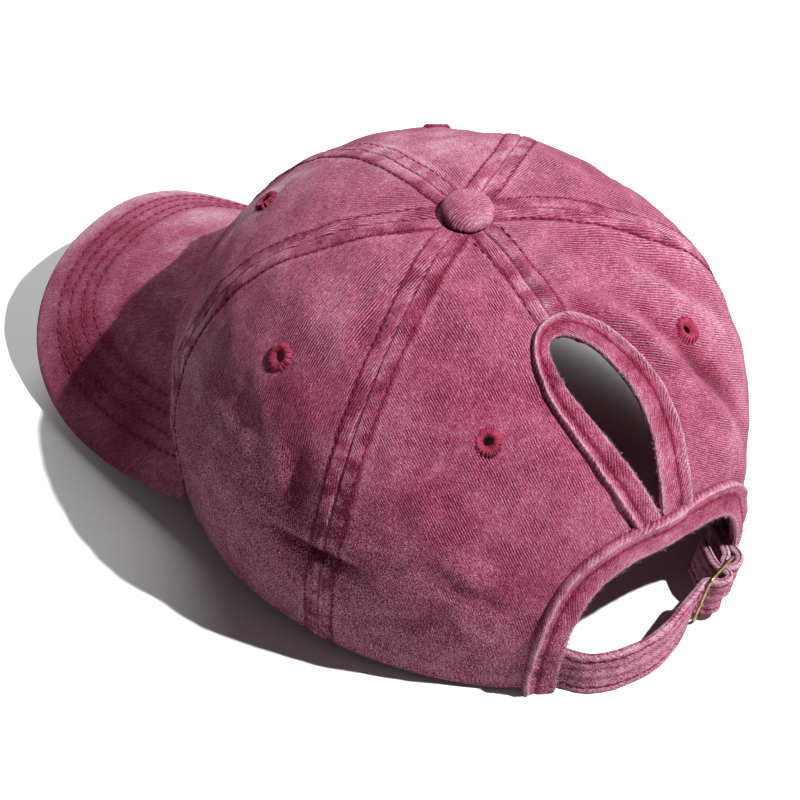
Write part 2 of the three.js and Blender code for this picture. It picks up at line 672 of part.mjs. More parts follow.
const arch = toSolid(archCutter());
const hole = toSolid(holeCutter());
for (const panel of PANELS) {
  let solid = toSolid(panelGeometry(panel));
  for (const eyelet of EYELETS) {
    if (eyelet.panel === panel.name) solid = solid.subtract(toSolid(eyeletBore(eyelet)));
  }
  if (panel.name.startsWith("back_")) solid = solid.subtract(arch).subtract(hole);
  addPiece(panel.name, fromSolid(solid), PANEL_CLOTH);
}
for (const eyelet of EYELETS) {
  const ring = addPiece(eyelet.name, eyeletGeometry(), THREAD);
  placeOnCrown(ring, eyelet.turn, eyelet.climb, -EYELET.sunk);
}
const button = addPiece("top_button", buttonGeometry(), PANEL_CLOTH);
placeOnCrown(button, 90, 90, BUTTON.gap);
addPiece("peak", peakGeometry(), PANEL_CLOTH);
addPiece("arch_binding", archBinding(), BINDING_CLOTH);
addPiece("ponytail_binding", holeBinding(), BINDING_CLOTH);
addPiece("strap", strapGeometry(), BINDING_CLOTH);
addPiece("strap_tab", tabGeometry(), BINDING_CLOTH);
const slide = addPiece("buckle", slideGeometry(), BRASS);
const slideAxes = new THREE.Matrix4().makeBasis(SLIDE_ALONG, SLIDE_UP, SLIDE_OUT);
slide.position.set(SLIDE.x, SLIDE.y, SLIDE.z);
slide.quaternion.setFromRotationMatrix(slideAxes);

export default cap;
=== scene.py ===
# %% [markdown]
# # A washed cotton ponytail cap
# This lesson dresses a six-panel cap. The imported model gives every piece its place, and each cell
# below makes one piece of the real cap: panels, seams, edges, peak, strap, slide and thread.
# The first cell loads that model.

# %% Load the imported cap
import math

import bmesh
import bpy
import numpy as np
from mathutils import Matrix, Vector


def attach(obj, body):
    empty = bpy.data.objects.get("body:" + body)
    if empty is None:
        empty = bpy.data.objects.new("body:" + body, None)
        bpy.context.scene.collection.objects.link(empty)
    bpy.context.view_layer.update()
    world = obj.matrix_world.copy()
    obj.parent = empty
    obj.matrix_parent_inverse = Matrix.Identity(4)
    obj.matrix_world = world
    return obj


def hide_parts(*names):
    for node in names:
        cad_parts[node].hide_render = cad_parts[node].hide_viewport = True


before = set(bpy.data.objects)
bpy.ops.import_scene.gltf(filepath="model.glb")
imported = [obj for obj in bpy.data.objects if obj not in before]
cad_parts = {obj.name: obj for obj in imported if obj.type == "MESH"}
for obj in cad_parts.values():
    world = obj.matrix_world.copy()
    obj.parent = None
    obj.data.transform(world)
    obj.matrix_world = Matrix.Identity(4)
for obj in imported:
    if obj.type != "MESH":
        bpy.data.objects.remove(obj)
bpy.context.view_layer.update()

# %% [markdown]
# ## Camera
# The cap is seen from behind its left side and from well above, with a long lens. A real camera
# could be placed by eye. Here its angles and distance are those at which the crown's seams fall
# where they should, so they are given as numbers round the crown's own axis, in millimetres.

# %% Camera at the viewing angle
MM = 0.001
PLACE = np.array([-3.08, 24.1, 0.0])  # the crown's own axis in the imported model, in mm
CAMERA = {"turn": 138.87, "climb": 44.083, "away": 687.93, "focal": 2170.25}
AIM = {"height": 45.0, "right": -16.103, "up": -9.492}
FRAME_PIXELS = 800
SENSOR = 36.0


def link(obj):
    bpy.context.scene.collection.objects.link(obj)
    return obj


def direction(turn, climb):
    """From the cap towards a place at some turn and climb."""
    turn, climb = math.radians(turn), math.radians(climb)
    flat = math.cos(climb)
    return Vector((math.sin(turn) * flat, -math.cos(turn) * flat, math.sin(climb)))


def facing(look):
    """What lies to the right and up for someone who looks that way."""
    side = look.cross(Vector((0, 0, 1))).normalized()
    return side, side.cross(look)


def make_camera():
    back = direction(CAMERA["turn"], CAMERA["climb"])
    middle = Vector((0, 0, AIM["height"]))
    side, top = facing(-back)
    eye = middle + back * CAMERA["away"]
    look = (middle + side * AIM["right"] + top * AIM["up"] - eye).normalized()
    side, top = facing(look)
    data = bpy.data.cameras.new("photo_camera")
    data.sensor_width = SENSOR
    data.lens = CAMERA["focal"] * SENSOR / FRAME_PIXELS
    camera = link(bpy.data.objects.new("photo_camera", data))
    turned = Matrix((side, top, -look)).transposed().to_4x4()
    camera.matrix_world = Matrix.Translation((eye + Vector(PLACE)) * MM) @ turned
    bpy.context.scene.camera = camera
    return camera


camera = make_camera()
print("camera at", [round(v, 3) for v in camera.location], "lens", round(camera.data.lens, 1))

# %% [markdown]
# ## The crown as a rule
# Every point of the crown is a place (turn, climb): turn goes round the head from the front, and
# climb goes up from the rim to the button. One function gives the smooth shape, and all the cloth
# pieces are laid on it. Sculpting by hand would also work, but then panels, edges and stitches
# would not meet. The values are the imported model's own, in millimetres.

# %% Smooth crown
HALF_WIDTH, HALF_LENGTH, CROWN_HEIGHT = 85.9, 98.1, 108.5
HEIGHT_POWER = 0.674
FULLNESS = {"front": 0.895, "back": 1.041, "side": 0.789}
CROWN_LEAN = (0.85, -1.32)
REAR_TILT, TILT_LINE_Y = math.radians(3.96), 80.3
RIM_CLEARANCE = 0.9
SIDE_TUCK = {"share": 0.038, "level": 0.22}
SLUMPS = (  # turns, rim cosine, rim sine, middle cosine, middle sine
    (1, -0.015, 0.013, -0.055, -0.003),
    (2, -0.006, -0.001, -0.021, 0.027),
    (3, -0.023, -0.017, 0.022, -0.01),
)
FRONT_LIFT = {"height": 27, "turn": 18, "reach": 62}
CORNER_DIP = {"height": 6, "turn": -42, "reach": 16}
CLIMB_LIMIT = 89.5  # above this a turn no longer has a direction


def bell(distance):
    """1 at 0, and a smooth fall to 0 on both sides."""
    return np.exp(-np.square(distance))


def around(turn):
    """The same turn, between -180 and 180."""
    return (np.asarray(turn, float) + 180) % 360 - 180


def rim_lift(turn):
    """Height of the rim over the floor: high in front, with a dip at one corner."""
    part = np.clip(np.abs(around(turn - FRONT_LIFT["turn"])) / FRONT_LIFT["reach"], 0, 1)
    dip = CORNER_DIP["height"] * bell(around(turn - CORNER_DIP["turn"]) / CORNER_DIP["reach"])
    return RIM_CLEARANCE + FRONT_LIFT["height"] * (1 + np.cos(np.pi * part)) / 2 - dip


def crown(turn, climb):
    """The smooth crown at a turn and climb, in mm round its own axis."""
    turn, climb = np.broadcast_arrays(np.asarray(turn, float), np.asarray(climb, float))
    a, b = np.radians(turn), np.radians(climb)
    c, s = np.maximum(np.cos(b), 1e-6), np.maximum(np.sin(b), 0)
    front, side = (1 + np.cos(a)) / 2, np.sin(a) ** 2
    level = s ** HEIGHT_POWER
    ends = FULLNESS["back"] + (FULLNESS["front"] - FULLNESS["back"]) * front
    radius = c ** (ends + (FULLNESS["side"] - ends) * side)
    radius = radius * (1 - SIDE_TUCK["share"] * side * bell(level / SIDE_TUCK["level"]))
    slump = 0
    for turns, rim_cos, rim_sin, mid_cos, mid_sin in SLUMPS:
        wave = np.cos(turns * a), np.sin(turns * a)
        slump = slump + (rim_cos * wave[0] + rim_sin * wave[1]) * c * c
        slump = slump + (mid_cos * wave[0] + mid_sin * wave[1]) * np.sin(2 * b) ** 2
    radius = radius * (1 + slump)
    x = HALF_WIDTH * np.sin(a) * radius + CROWN_LEAN[0] * level**2
    y = -HALF_LENGTH * np.cos(a) * radius + CROWN_LEAN[1] * level**2
    z = CROWN_HEIGHT * level + rim_lift(turn) * (1 - level) ** 2
    ct, st, dy = math.cos(REAR_TILT), math.sin(REAR_TILT), y - TILT_LINE_Y
    return np.stack([x, TILT_LINE_Y + dy * ct + z * st, z * ct - dy * st], -1)


def crown_normal(turn, climb):
    """The way out of the crown's surface."""
    climb = np.asarray(climb, float)
    across = crown(turn + 1, climb) - crown(turn - 1, climb)
    up = crown(turn, np.minimum(climb + 1, CLIMB_LIMIT)) - crown(turn, np.maximum(climb - 1, 0))
    normal = np.cross(across, up)
    return normal / np.linalg.norm(normal, axis=-1, keepdims=True)


def mm_per_turn(turn, climb):
    """How far the surface goes in one degree of turn."""
    return np.linalg.norm(crown(turn + 1, climb) - crown(turn - 1, climb), axis=-1) / 2


def mm_per_climb(turn, climb):
    """How far the surface goes in one degree of climb."""
    low = np.maximum(climb - 0.5, 0)
    run = np.linalg.norm(crown(turn, climb + 0.5) - crown(turn, low), axis=-1)
    return run / (climb + 0.5 - low)


print("crown top:", crown(0, 90).round(1), "back of the rim:", crown(180, 0).round(1))

# %% [markdown]
# ## Seams, folds and the slump of washed cloth
# Six seams run from the button to the rim. On the real cap the edges of two panels are pressed
# open under the seam and stitched down 4.6 mm to each side. That makes two soft pads with a deep
# line between them, and the thread draws the pads into small puckers. Modelling every ply would
# be slow, so one height function holds the whole section. It also says where the dye stays dark,
# in the folds, and where it is rubbed pale, on the crests; the dark in the folds is partly painted
# shade. Two short tables list the folds, and pale and dark patches: some are long wear, the pale
# ones on the crown's left edge are a painted highlight of grazing light, and the dark ones are
# partly painted shade.

# %% Seam lines and folds
SEAMS = {  # name: turn, bow, swing
    "front": (0, 0, 15),
    "left_front": (65.8, -7, 0),
    "left_rear": (109.1, 2.4, 0),
    "back": (180, -6.4, 0),
    "right_rear": (250.9, -9.1, 10),
    "right_front": (294.2, 0, 26),
}
# turn and climb of one end, the middle and the other end, then rise and reach in mm. A ridge
# rises, and a hollow has a rise below 0.
FOLDS = (
    ((99, 14.6), (108.7, 14.2), (118, 14.4), -2.7, 2.5),
    ((98, 18), (108, 18.2), (120, 19), 0.5, 4),
    ((103, 19), (102.8, 26), (101.5, 35), -1.7, 4.2),
    ((130, 17.5), (138.6, 14.5), (148, 10.5), -0.6, 3.6),
    ((130, 21.5), (139, 18.5), (148, 14.5), 0.4, 4),
    ((113, 4.5), (122, 6), (132, 9), -0.8, 4),
    ((104.4, 57), (103.8, 62), (102.6, 68), -1.2, 4),
    ((98, 80), (96.5, 72), (100.5, 59), 0.8, 2.4),
    ((192, 60), (203, 46), (212, 30), -1.4, 6),
    ((225, 62), (229, 48), (232, 35), -1.4, 8),
    ((199.6, 63.1), (202.5, 44), (205.3, 15.7), 2.3, 3.6),
    ((207, 60), (209, 44), (211, 20), -1.1, 4),
    ((187.1, 66.2), (199.2, 58), (197.2, 40), 1.7, 3.2),
    ((225.4, 65.4), (221.2, 58.7), (220.7, 46), 1.9, 3.6),
    ((194.8, 37.7), (198, 31), (202.5, 24), 1.2, 2.8),
    ((157.4, 68.9), (163, 66.6), (169, 64.4), -0.8, 2.4),
    ((154.9, 61.8), (160, 62.4), (166, 63.6), 0.7, 2.6),
    ((150, 55), (159, 51), (165, 46), -0.9, 5),
    ((74, 33), (84, 31), (96, 34), -1.0, 7),
    ((70, 12), (82, 9), (95, 9), -0.8, 5),
    ((255, 20), (268, 18), (282, 14), -1.3, 5),
    ((298, 30), (312, 22), (330, 20), -1.2, 7),
    ((20, 28), (36, 24), (54, 24), -1.2, 7),
    ((177.5, 77), (177, 71), (176, 64.5), -0.8, 1.2),
    ((181, 80), (182, 72), (181, 64), 0.8, 2),
)
# Wear and painted light: (66, 27), (29, 39) and (17, 47) are a painted highlight of grazing light on
# the crown's left edge, the dark patches are partly painted shade, and the rest is wear.
WEAR_AND_PAINTED_LIGHT = (  # turn, climb, reach in mm, share: paler if positive, darker if negative
    (334, 68, 22, 0.32),
    (310, 71, 16, 0.35),
    (355, 65, 18, 0.25),
    (28, 56, 14, 0.25),
    (230, 50, 20, 0.22),
    (211, 26, 14, 0.3),
    (223, 35, 16, 0.22),
    (94, 59, 14, 0.3),
    (121, 44, 12, 0.25),
    (66, 27, 18, 0.5),
    (29, 39, 13, 0.9),
    (17, 47, 11, 0.5),
    (61, 40, 9, -0.3),
    (85, 29, 9, 0.35),
    (106, 11, 10, -0.35),
    (130, 32, 14, -0.2),
    (94, 41, 11, -0.3),
    (139, 50, 14, -0.22),
    (190, 62, 7, -0.5),
    (115, 17, 8, -0.3),
    (147, 15, 15, -0.24),
    (205, 40, 16, -0.14),
    (30, 60, 14, -0.12),
)
CURVE_SAMPLES = 24  # points along each fold
WAVE_COUNT, WAVE_SIZE = 8, 2.9  # waves in one field of lumps, and what their sum comes to


def seam_turn(name, climb):
    """Turn at which a seam lies, at some climb."""
    turn, bow, swing = SEAMS[name]
    c = np.radians(climb)
    return turn + bow * np.sin(2 * c) + swing * np.maximum(1 - np.sin(c), 0) ** 1.2


def waves(points, size, seed):
    """Smooth random lumps through space, about -1 to 1, some size mm apart."""
    rng = np.random.default_rng(seed)
    total = 0
    for _ in range(WAVE_COUNT):
        way = rng.normal(size=3)
        way = way / np.linalg.norm(way) * 2 * np.pi / (size * rng.uniform(0.7, 1.5))
        total = total + np.sin(points @ way + rng.uniform(0, 6.28))
    return total / WAVE_SIZE


def smooth(low, high, value):
    """0 below low, 1 above high, and an eased step between."""
    part = np.clip((value - low) / (high - low), 0, 1)
    return part * part * (3 - 2 * part)


def fold_relief(points):
    """Height of the folds at points of the crown, in mm."""
    height = np.zeros(points.shape[:-1])
    t = np.linspace(0, 1, CURVE_SAMPLES)
    for first, middle, last, rise, reach in FOLDS:
        bend = [(1 - t) ** 2 * p + 2 * t * (1 - t) * (2 * q - (p + r) / 2) + t**2 * r
                for p, q, r in zip(first, middle, last)]
        line = crown(bend[0], bend[1])
        gaps = np.linalg.norm(points[..., None, :] - line, axis=-1)
        nearest = gaps.argmin(-1)
        taper = np.sin(np.pi * (0.08 + 0.84 * t[nearest])) ** 0.7
        height += rise * taper * bell(gaps.min(-1) / reach)
    return height


def pale_and_dark_patches(points):
    """Pale and dark patches of wear, among them painted highlights and painted shade."""
    share = np.zeros(points.shape[:-1])
    for turn, climb, reach, amount in WEAR_AND_PAINTED_LIGHT:
        share += amount * bell(np.linalg.norm(points - crown(turn, climb), axis=-1) / reach)
    share = share * (1 + 0.35 * waves(points, 9, 11))
    return np.maximum(share, 0), np.maximum(-share, 0)


print("seams:", list(SEAMS), "folds:", len(FOLDS))

# %% Section of a seam
PAD = 4.6  # from the seam line to each row of stitches, in mm


def seam_slant(name, climb, per_turn, per_climb):
    """Distance along a level over distance square to the seam, because the seam leans."""
    skew = (seam_turn(name, climb + 1) - seam_turn(name, climb - 1)) / 2
    return np.hypot(1, skew * per_turn / per_climb)


def nearest_seam(turn, climb):
    """Distance in mm to the nearest seam, with its sign, and the number of that seam."""
    per_turn, per_climb = mm_per_turn(turn, climb), mm_per_climb(turn, climb)
    best, which = np.full(np.shape(per_turn), 1e9), np.zeros(np.shape(per_turn), int)
    for number, name in enumerate(SEAMS):
        gap = around(turn - seam_turn(name, climb)) * per_turn
        gap = gap / seam_slant(name, climb, per_turn, per_climb)
        closer = np.abs(gap) < np.abs(best)
        best, which = np.where(closer, gap, best), np.where(closer, number, which)
    return best, which


def seam_section(gap, along, points):
    """Height, pale share from rubbing and dark share of the cloth beside a seam."""
    s, side = np.abs(gap), np.sign(gap)
    uneven = waves(points, 14, 5)
    patch = 0.5 * np.sin(along * 0.9 + 2.4 * side + 3 * uneven) + 1.2 * waves(points, 7, 6)
    patch = 0.5 + 0.5 * np.clip(patch, -1, 1)
    line = bell((s + 0.14 * waves(points, 3, 9)) / 0.26) * (0.62 + 0.38 * waves(points, 4, 10))
    row = bell((s - PAD) / 0.4)
    pad = smooth(0.05, 0.7, s) * (1 - smooth(PAD - 0.5, PAD + 0.3, s))
    shoulder = bell((s - PAD - 1.5) / 1.1)
    ripple = np.sin(along * 1.5 + 0.7 * gap + 2.2 * uneven) * (0.6 + 0.4 * waves(points, 9, 7))
    calm = pad + 0.45 * shoulder + 0.3 * bell((s - 9) / 3.5)
    height = 0.42 * pad - 0.15 * line - 0.22 * row + 0.14 * shoulder + 0.17 * ripple * calm
    pale_share = 0.3 * pad * (1 - patch) + 0.25 * bell((s - 0.8) / 0.45) + 0.25 * shoulder
    crushed = 0.62 - 0.34 * smooth(70, 98, points[..., 2])  # the pads are darker lower down
    dark = 0.45 * line + 0.45 * row + crushed * pad * smooth(0.3, 0.9, patch)
    dark = dark + 0.3 * bell((s - PAD) / 1.7) * (0.5 + 0.5 * waves(points, 12, 8))
    return height, pale_share, dark


def cap_surface(turn, climb, seams=1.0):
    """Outer face of the crown's cloth: points, normals, pale and dark share, with painted light and
    shade.
    """
    turn, climb = np.broadcast_arrays(np.asarray(turn, float), np.asarray(climb, float))
    base, normal = crown(turn, climb), crown_normal(turn, climb)
    gap, which = nearest_seam(turn, climb)
    near_top = smooth(84, 88, climb)
    along = climb * 1.75 + 40 * which  # mm up the seam, begun elsewhere on each
    height, pale_share, dark = seam_section(gap, along, base)
    folds = fold_relief(base)
    lumps = 0.42 * waves(base, 34, 1) + 0.3 * waves(base, 17, 2) + 0.1 * waves(base, 8, 3)
    calm_rim = smooth(0, 8, climb) * 0.7 + 0.3  # the hem holds the rim steady
    total = seams * height * (1 - near_top) + folds * calm_rim + lumps * calm_rim * (1 - near_top)
    # pale and dark patches: wear, a painted highlight on the crown's left edge, and partly painted
    # shade
    pale, deep = pale_and_dark_patches(base)
    pale_share = pale_share + 0.1 * np.clip(folds, 0, 2) + 0.2 * bell(climb / 1.1) + pale
    # painted shade: the hollows of the folds are darkened, on top of the dye that stays dark there
    dark = dark + 0.42 * np.clip(-folds - 0.3, 0, 2.4) + deep
    points = base + normal * total[..., None]
    return points, normal, pale_share, dark


sample = cap_surface(np.array([109.0, 140.0]), np.array([30.0, 30.0]))
print("seam and panel points:", sample[0].round(1).tolist())

# %% [markdown]
# ## Cloth meshes
# Each piece of cloth is a closed solid between an outer and an inner grid of points, with its rim
# closed. A grid keeps a flat map of the cloth in step with the surface, which the twill needs. The
# helper also stores two shares for the finish: how pale a spot is, and how dark it is. Both hold
# wear and dye, and in places painted highlights and painted shade.

# %% Closed solid between two grids
SHARP = 0.9  # edges that turn by more than this, in radians, stay sharp
FLOOR_ROOM = 0.4  # cloth that would lie lower than this, in mm, is pressed up off the floor


def tint_mesh(mesh, pale_share, dark):
    """Stores the pale and the dark share of each point, painted light and shade among them."""
    store = mesh.color_attributes.new("wash", "FLOAT_COLOR", "POINT")
    values = np.zeros((len(mesh.vertices), 4))
    values[:, 0], values[:, 1], values[:, 3] = pale_share, dark, 1
    store.data.foreach_set("color", values.ravel())


def map_mesh(mesh, flat):
    """Stores the flat map that the twill reads, in metres."""
    corner = np.empty(len(mesh.loops), int)
    mesh.loops.foreach_get("vertex_index", corner)
    layer = mesh.uv_layers.new(name="cloth")
    layer.data.foreach_set("uv", (flat[corner] * MM).ravel())


def signed_volume(points, quads):
    """Above 0 where the faces of a closed mesh point outward."""
    a, b, c, d = (points[quads[:, k]] for k in range(4))
    return float((a * (np.cross(b, c) + np.cross(c, d))).sum())


def raw_object(name, points, faces):
    """A bare mesh object from points in mm round the crown's axis."""
    mesh = bpy.data.meshes.new(name)
    mesh.from_pydata(((points + PLACE) * MM).tolist(), [], faces)
    return link(bpy.data.objects.new(name, mesh))


def build(name, points, quads, flat, pale_share, dark, sharp=SHARP):
    """A finished mesh object from points in mm, with its flat map in mm and its wash."""
    z = points[:, 2]
    z = np.where(z < FLOOR_ROOM, FLOOR_ROOM * np.exp(z / FLOOR_ROOM - 1), z)
    points = np.column_stack([points[:, :2], z])
    if signed_volume(points - points.mean(0), quads) < 0:
        quads = quads[:, ::-1]
    obj = raw_object(name, points, quads.tolist())
    map_mesh(obj.data, flat)
    tint_mesh(obj.data, pale_share, dark)
    obj.data.shade_smooth()
    obj.data.set_sharp_from_angle(angle=sharp)
    return obj


def sheet_quads(rows, cols, wrap=False):
    """Faces between the points of a grid, closed round its columns if asked."""
    i, j = np.meshgrid(np.arange(rows - 1), np.arange(cols if wrap else cols - 1), indexing="ij")
    k = (j + 1) % cols
    a = i * cols
    return np.stack([a + j, a + k, a + cols + k, a + cols + j], -1).reshape(-1, 4)


def two_faced(name, outer, inner, flat, pale_share, dark):
    """A closed solid between two grids of points, rows by columns."""
    rows, cols = outer.shape[:2]
    count = rows * cols
    face = sheet_quads(rows, cols)
    number = np.arange(count).reshape(rows, cols)
    quads = [face, face[:, ::-1] + count]
    for edge in (number[0], number[:, -1], number[-1, ::-1], number[::-1, 0]):
        quads.append(np.stack([edge[1:], edge[:-1], edge[:-1] + count, edge[1:] + count], -1))

    def for_both(values):
        return np.concatenate([values.reshape(count, -1)] * 2)

    points = np.concatenate([outer.reshape(-1, 3), inner.reshape(-1, 3)])
    return build(name, points, np.concatenate(quads), for_both(flat),
                 for_both(pale_share)[:, 0], for_both(dark)[:, 0])


def spread(steps, widest, width):
    """Distances from an edge: as steps where there is room, drawn together where there is not."""
    low, high = np.full(np.shape(width), 1e-6), np.full(np.shape(width), 50.0)
    for _ in range(60):
        k = (low + high) / 2
        wide = (1 - np.exp(-k * widest)) / k > width
        low, high = np.where(wide, k, low), np.where(wide, high, k)
    reach = (1 - np.exp(-np.multiply.outer(k, steps))) / k[..., None]
    return reach * (width / reach[..., -1])[..., None]


def run_of(points):
    """Length of a line up to each of its points."""
    step = np.linalg.norm(np.diff(points, axis=0), axis=-1)
    return np.concatenate([[0], np.cumsum(step)])


def lay_weave(flat, lean):
    """Turns a flat map by some degrees, so that the ribs lean."""
    c, s = math.cos(math.radians(lean)), math.sin(math.radians(lean))
    return flat @ np.array([[c, -s], [s, c]])


def upright(normal):
    """The turn that stands a piece made on the floor along a normal."""
    return Vector(normal).to_track_quat("Z", "Y").to_matrix()


def ring_steps(count):
    """Numbers of the points round a ring, and of the point after each."""
    k = np.arange(count)
    return k, (k + 1) % count


def face_out(obj):
    """Turns every face of a closed mesh outward."""
    work = bmesh.new()
    work.from_mesh(obj.data)
    bmesh.ops.recalc_face_normals(work, faces=work.faces)
    work.to_mesh(obj.data)
    work.free()


print("cloth helpers ready")

# %% [markdown]
# ## Crown panels
# The six panels are cut from twill, each with its own lie of the weave. The columns of each grid
# crowd at the seams, where the section is fine, and open out in the middle of the panel. Inside,
# the turned-back edges make the cloth thicker for 6 mm beside each seam.

# %% Panel grids
PANELS = {  # name: seam on its front side, seam behind, lean of the ribs in degrees
    "front_left_panel": ("front", "left_front", 14),
    "left_side_panel": ("left_front", "left_rear", 12),
    "back_left_panel": ("left_rear", "back", 20),
    "back_right_panel": ("back", "right_rear", 34),
    "right_side_panel": ("right_rear", "right_front", 14),
    "front_right_panel": ("right_front", "front", 14),
}
WALL = 1.6  # thickness of the cloth with its folded edge, in mm
TOP_CLIMB = 88.8  # the panels end here, under the button
HALF_PANEL = 52.0  # widest half of a panel, in mm
NEAR_STEPS = np.array([  # mm from the seam
    0, 0.3, 0.6, 0.95, 1.4, 2.0, 2.7, 3.3, 3.8, 4.2, 4.6, 5.0, 5.4, 6.0, 6.8, 7.8, 9])
FAR_STEPS = np.linspace(10.3, HALF_PANEL, 33)
RIM_STEPS = [0, 0.35, 0.8, 1.4, 2.1]  # mm from the rim, where the edge is rounded
EVEN_ROWS, MEASURED_TURN = 126, 140  # rows above those, and where their spacing is measured


def even_climbs():
    """Climb of each row of a panel's grid, and the length of cloth from rim to top."""
    fine = np.linspace(0, TOP_CLIMB, 900)
    run = run_of(crown(MEASURED_TURN, fine))
    rows = np.concatenate([RIM_STEPS, np.linspace(3, run[-1], EVEN_ROWS)])
    return np.interp(rows, run, fine), run[-1]


CLIMBS, PANEL_RUN = even_climbs()


def panel_turns(first, last):
    """Turn of each grid point between two seams, one row to each climb."""
    start, end = seam_turn(first, CLIMBS), seam_turn(last, CLIMBS)
    end = np.where(end < start, end + 360, end)
    middle = (start + end) / 2
    half = (end - start) / 2 * mm_per_turn(middle, CLIMBS)
    steps = spread(np.concatenate([NEAR_STEPS, FAR_STEPS]), HALF_PANEL, half) / half[:, None]
    left = start[:, None] + steps * (end - start)[:, None] / 2
    right = end[:, None] - steps * (end - start)[:, None] / 2
    return np.concatenate([left, right[:, -2::-1]], 1), half


def make_panel(name):
    first, last, lean = PANELS[name]
    turn, half = panel_turns(first, last)
    climb = np.repeat(CLIMBS[:, None], turn.shape[1], 1)
    points, normal, pale_share, dark = cap_surface(turn, climb)
    gap = np.abs(nearest_seam(turn, climb)[0])
    roll = 0.75 * bell(climb / 0.55)
    outer = points - normal * roll[..., None]
    turned_back = 0.7 * (1 - smooth(5, 6.2, gap)) * (1 - smooth(75, 80, climb))
    thick = WALL - 0.2 + turned_back - 1.1 * roll
    inner = points - normal * thick[..., None]
    middle = turn.mean(1, keepdims=True)
    per_turn = half / ((turn[:, -1] - turn[:, 0]) / 2)
    flat = np.stack([(turn - middle) * per_turn[:, None], climb * PANEL_RUN / 90], -1)
    return two_faced(name, outer, inner, lay_weave(flat, lean), pale_share, dark)


panels = {name: make_panel(name) for name in PANELS}
print({name: len(obj.data.polygons) for name, obj in panels.items()})

# %% [markdown]
# ## Cutting the arch, the ponytail slot and the air holes
# The arch and the slot are cut through the two back panels, and one round hole through each
# panel. A boolean cut keeps the flat map and the wash, and leaves a clean raw edge that the
# bindings and the embroidered rings then cover.

# %% Outlines of the arch and the slot
ARCH = {"inner_half": 34.6, "inner_top": 50.5, "outer_half": 42.8, "outer_top": 60.2, "power": 3}
SLOT = {"foot": 26.3, "head": 61, "middle": 2.2, "drift": 4,
        "half": {1: 23.6, -1: 22.6}, "lean": {1: 1.15, -1: 1.15}}
RIDGE = {"foot": 12, "head": 64.7, "middle": 2.8, "drift": 0.8,
         "half": {1: 45.7, -1: 44}, "lean": {1: 1.2, -1: 0.9}}
ARCH_FINE = 1200  # samples that even points along the arch are taken from
SET_BACK = 0.35  # the panels' raw edge lies this far behind the bindings' edge


def arch_wave(part):
    """Across and up, from -1 to 1 and 0 to 1, along a broad flat-topped arch."""
    a = np.pi * np.asarray(part)
    across = np.sign(np.cos(a)) * np.abs(np.cos(a)) ** (2 / ARCH["power"])
    return across, np.maximum(np.sin(a), 0) ** (2 / ARCH["power"])


def drop(shape, side, part):
    """Half width on one side and middle of a drop, at a part of its climb."""
    half = shape["half"][side] * part ** shape["lean"][side] * np.sqrt(np.maximum(0, 1 - part))
    return half, shape["middle"] + shape["drift"] * part**2.5


def slot_edge(side, part, grow=0.0):
    """x and climb of the slot's edge on one side, at a part of its height."""
    climb = SLOT["foot"] + (SLOT["head"] + grow / 2 - SLOT["foot"]) * part
    half, middle = drop(SLOT, side, part)
    return middle + side * np.maximum(0.5, half + grow), climb


def slot_ridge(side, part):
    """x and climb of the outer foot of the slot's ridge, at a part of its height."""
    climb = SLOT["foot"] + (RIDGE["head"] - SLOT["foot"]) * part
    half, middle = drop(RIDGE, side, (climb - RIDGE["foot"]) / (RIDGE["head"] - RIDGE["foot"]))
    return middle + side * half, climb


def back_at(x, climb):
    """Turn on the back of the crown at a given x and climb."""
    x, climb = np.broadcast_arrays(np.asarray(x, float), np.asarray(climb, float))
    turn = np.full(x.shape, 180.0)
    for _ in range(12):
        here = crown(turn, climb)[..., 0]
        turn = turn + (x - here) / ((crown(turn + 0.2, climb)[..., 0] - here) * 5)
    return turn


def back_seen(x, z):
    """Turn and climb on the back of the crown at x and z as seen from behind."""
    x, z = np.broadcast_arrays(np.asarray(x, float), np.asarray(z, float))
    turn = 180 - np.degrees(np.arcsin(np.clip(x / HALF_WIDTH, -0.9, 0.9)))
    climb = 90 * np.minimum(0.9, z / CROWN_HEIGHT) ** 1.5
    for _ in range(14):
        p = crown(turn, climb)
        dt, dc = (crown(turn + 0.2, climb) - p) * 5, (crown(turn, climb + 0.2) - p) * 5
        det = dt[..., 0] * dc[..., 2] - dc[..., 0] * dt[..., 2]
        ex, ez = x - p[..., 0], z - p[..., 2]
        turn = turn + (ex * dc[..., 2] - ez * dc[..., 0]) / det
        climb = np.clip(climb + (ez * dt[..., 0] - ex * dt[..., 2]) / det, 0, 80)
    return turn, climb


print("slot head at turn", round(float(back_at(5, 61)), 1))

# %% Cut the panels
EYELETS = {  # panel: turn and climb of its air hole
    "front_left": (30, 45),
    "left_side": (87, 46.5),
    "back_left": (141.7, 45.1),
    "back_right": (213.4, 48.3),
    "right_side": (273.8, 38.3),
    "front_right": (324.8, 50.2),
}
AIR_HOLE, AIR_SIDES = 2.9, 32  # radius in mm
AIR_REACH, SLOT_REACH = 7, 9  # mm that these cutters stand out on each side of the cloth
ARCH_REACH, ARCH_BELOW = (55.0, 135.0), -12  # y of the arch cutter's ends, z of its foot
ARCH_POINTS, SLOT_CUT_ROWS, SLOT_CUT_COLUMNS = 130, 60, 5


def plain_solid(name, outer, inner):
    """A closed solid without a flat map or wash, to cut with."""
    none = np.zeros(outer.shape[:2])
    return two_faced(name, outer, inner, np.zeros((*outer.shape[:2], 2)), none, none)


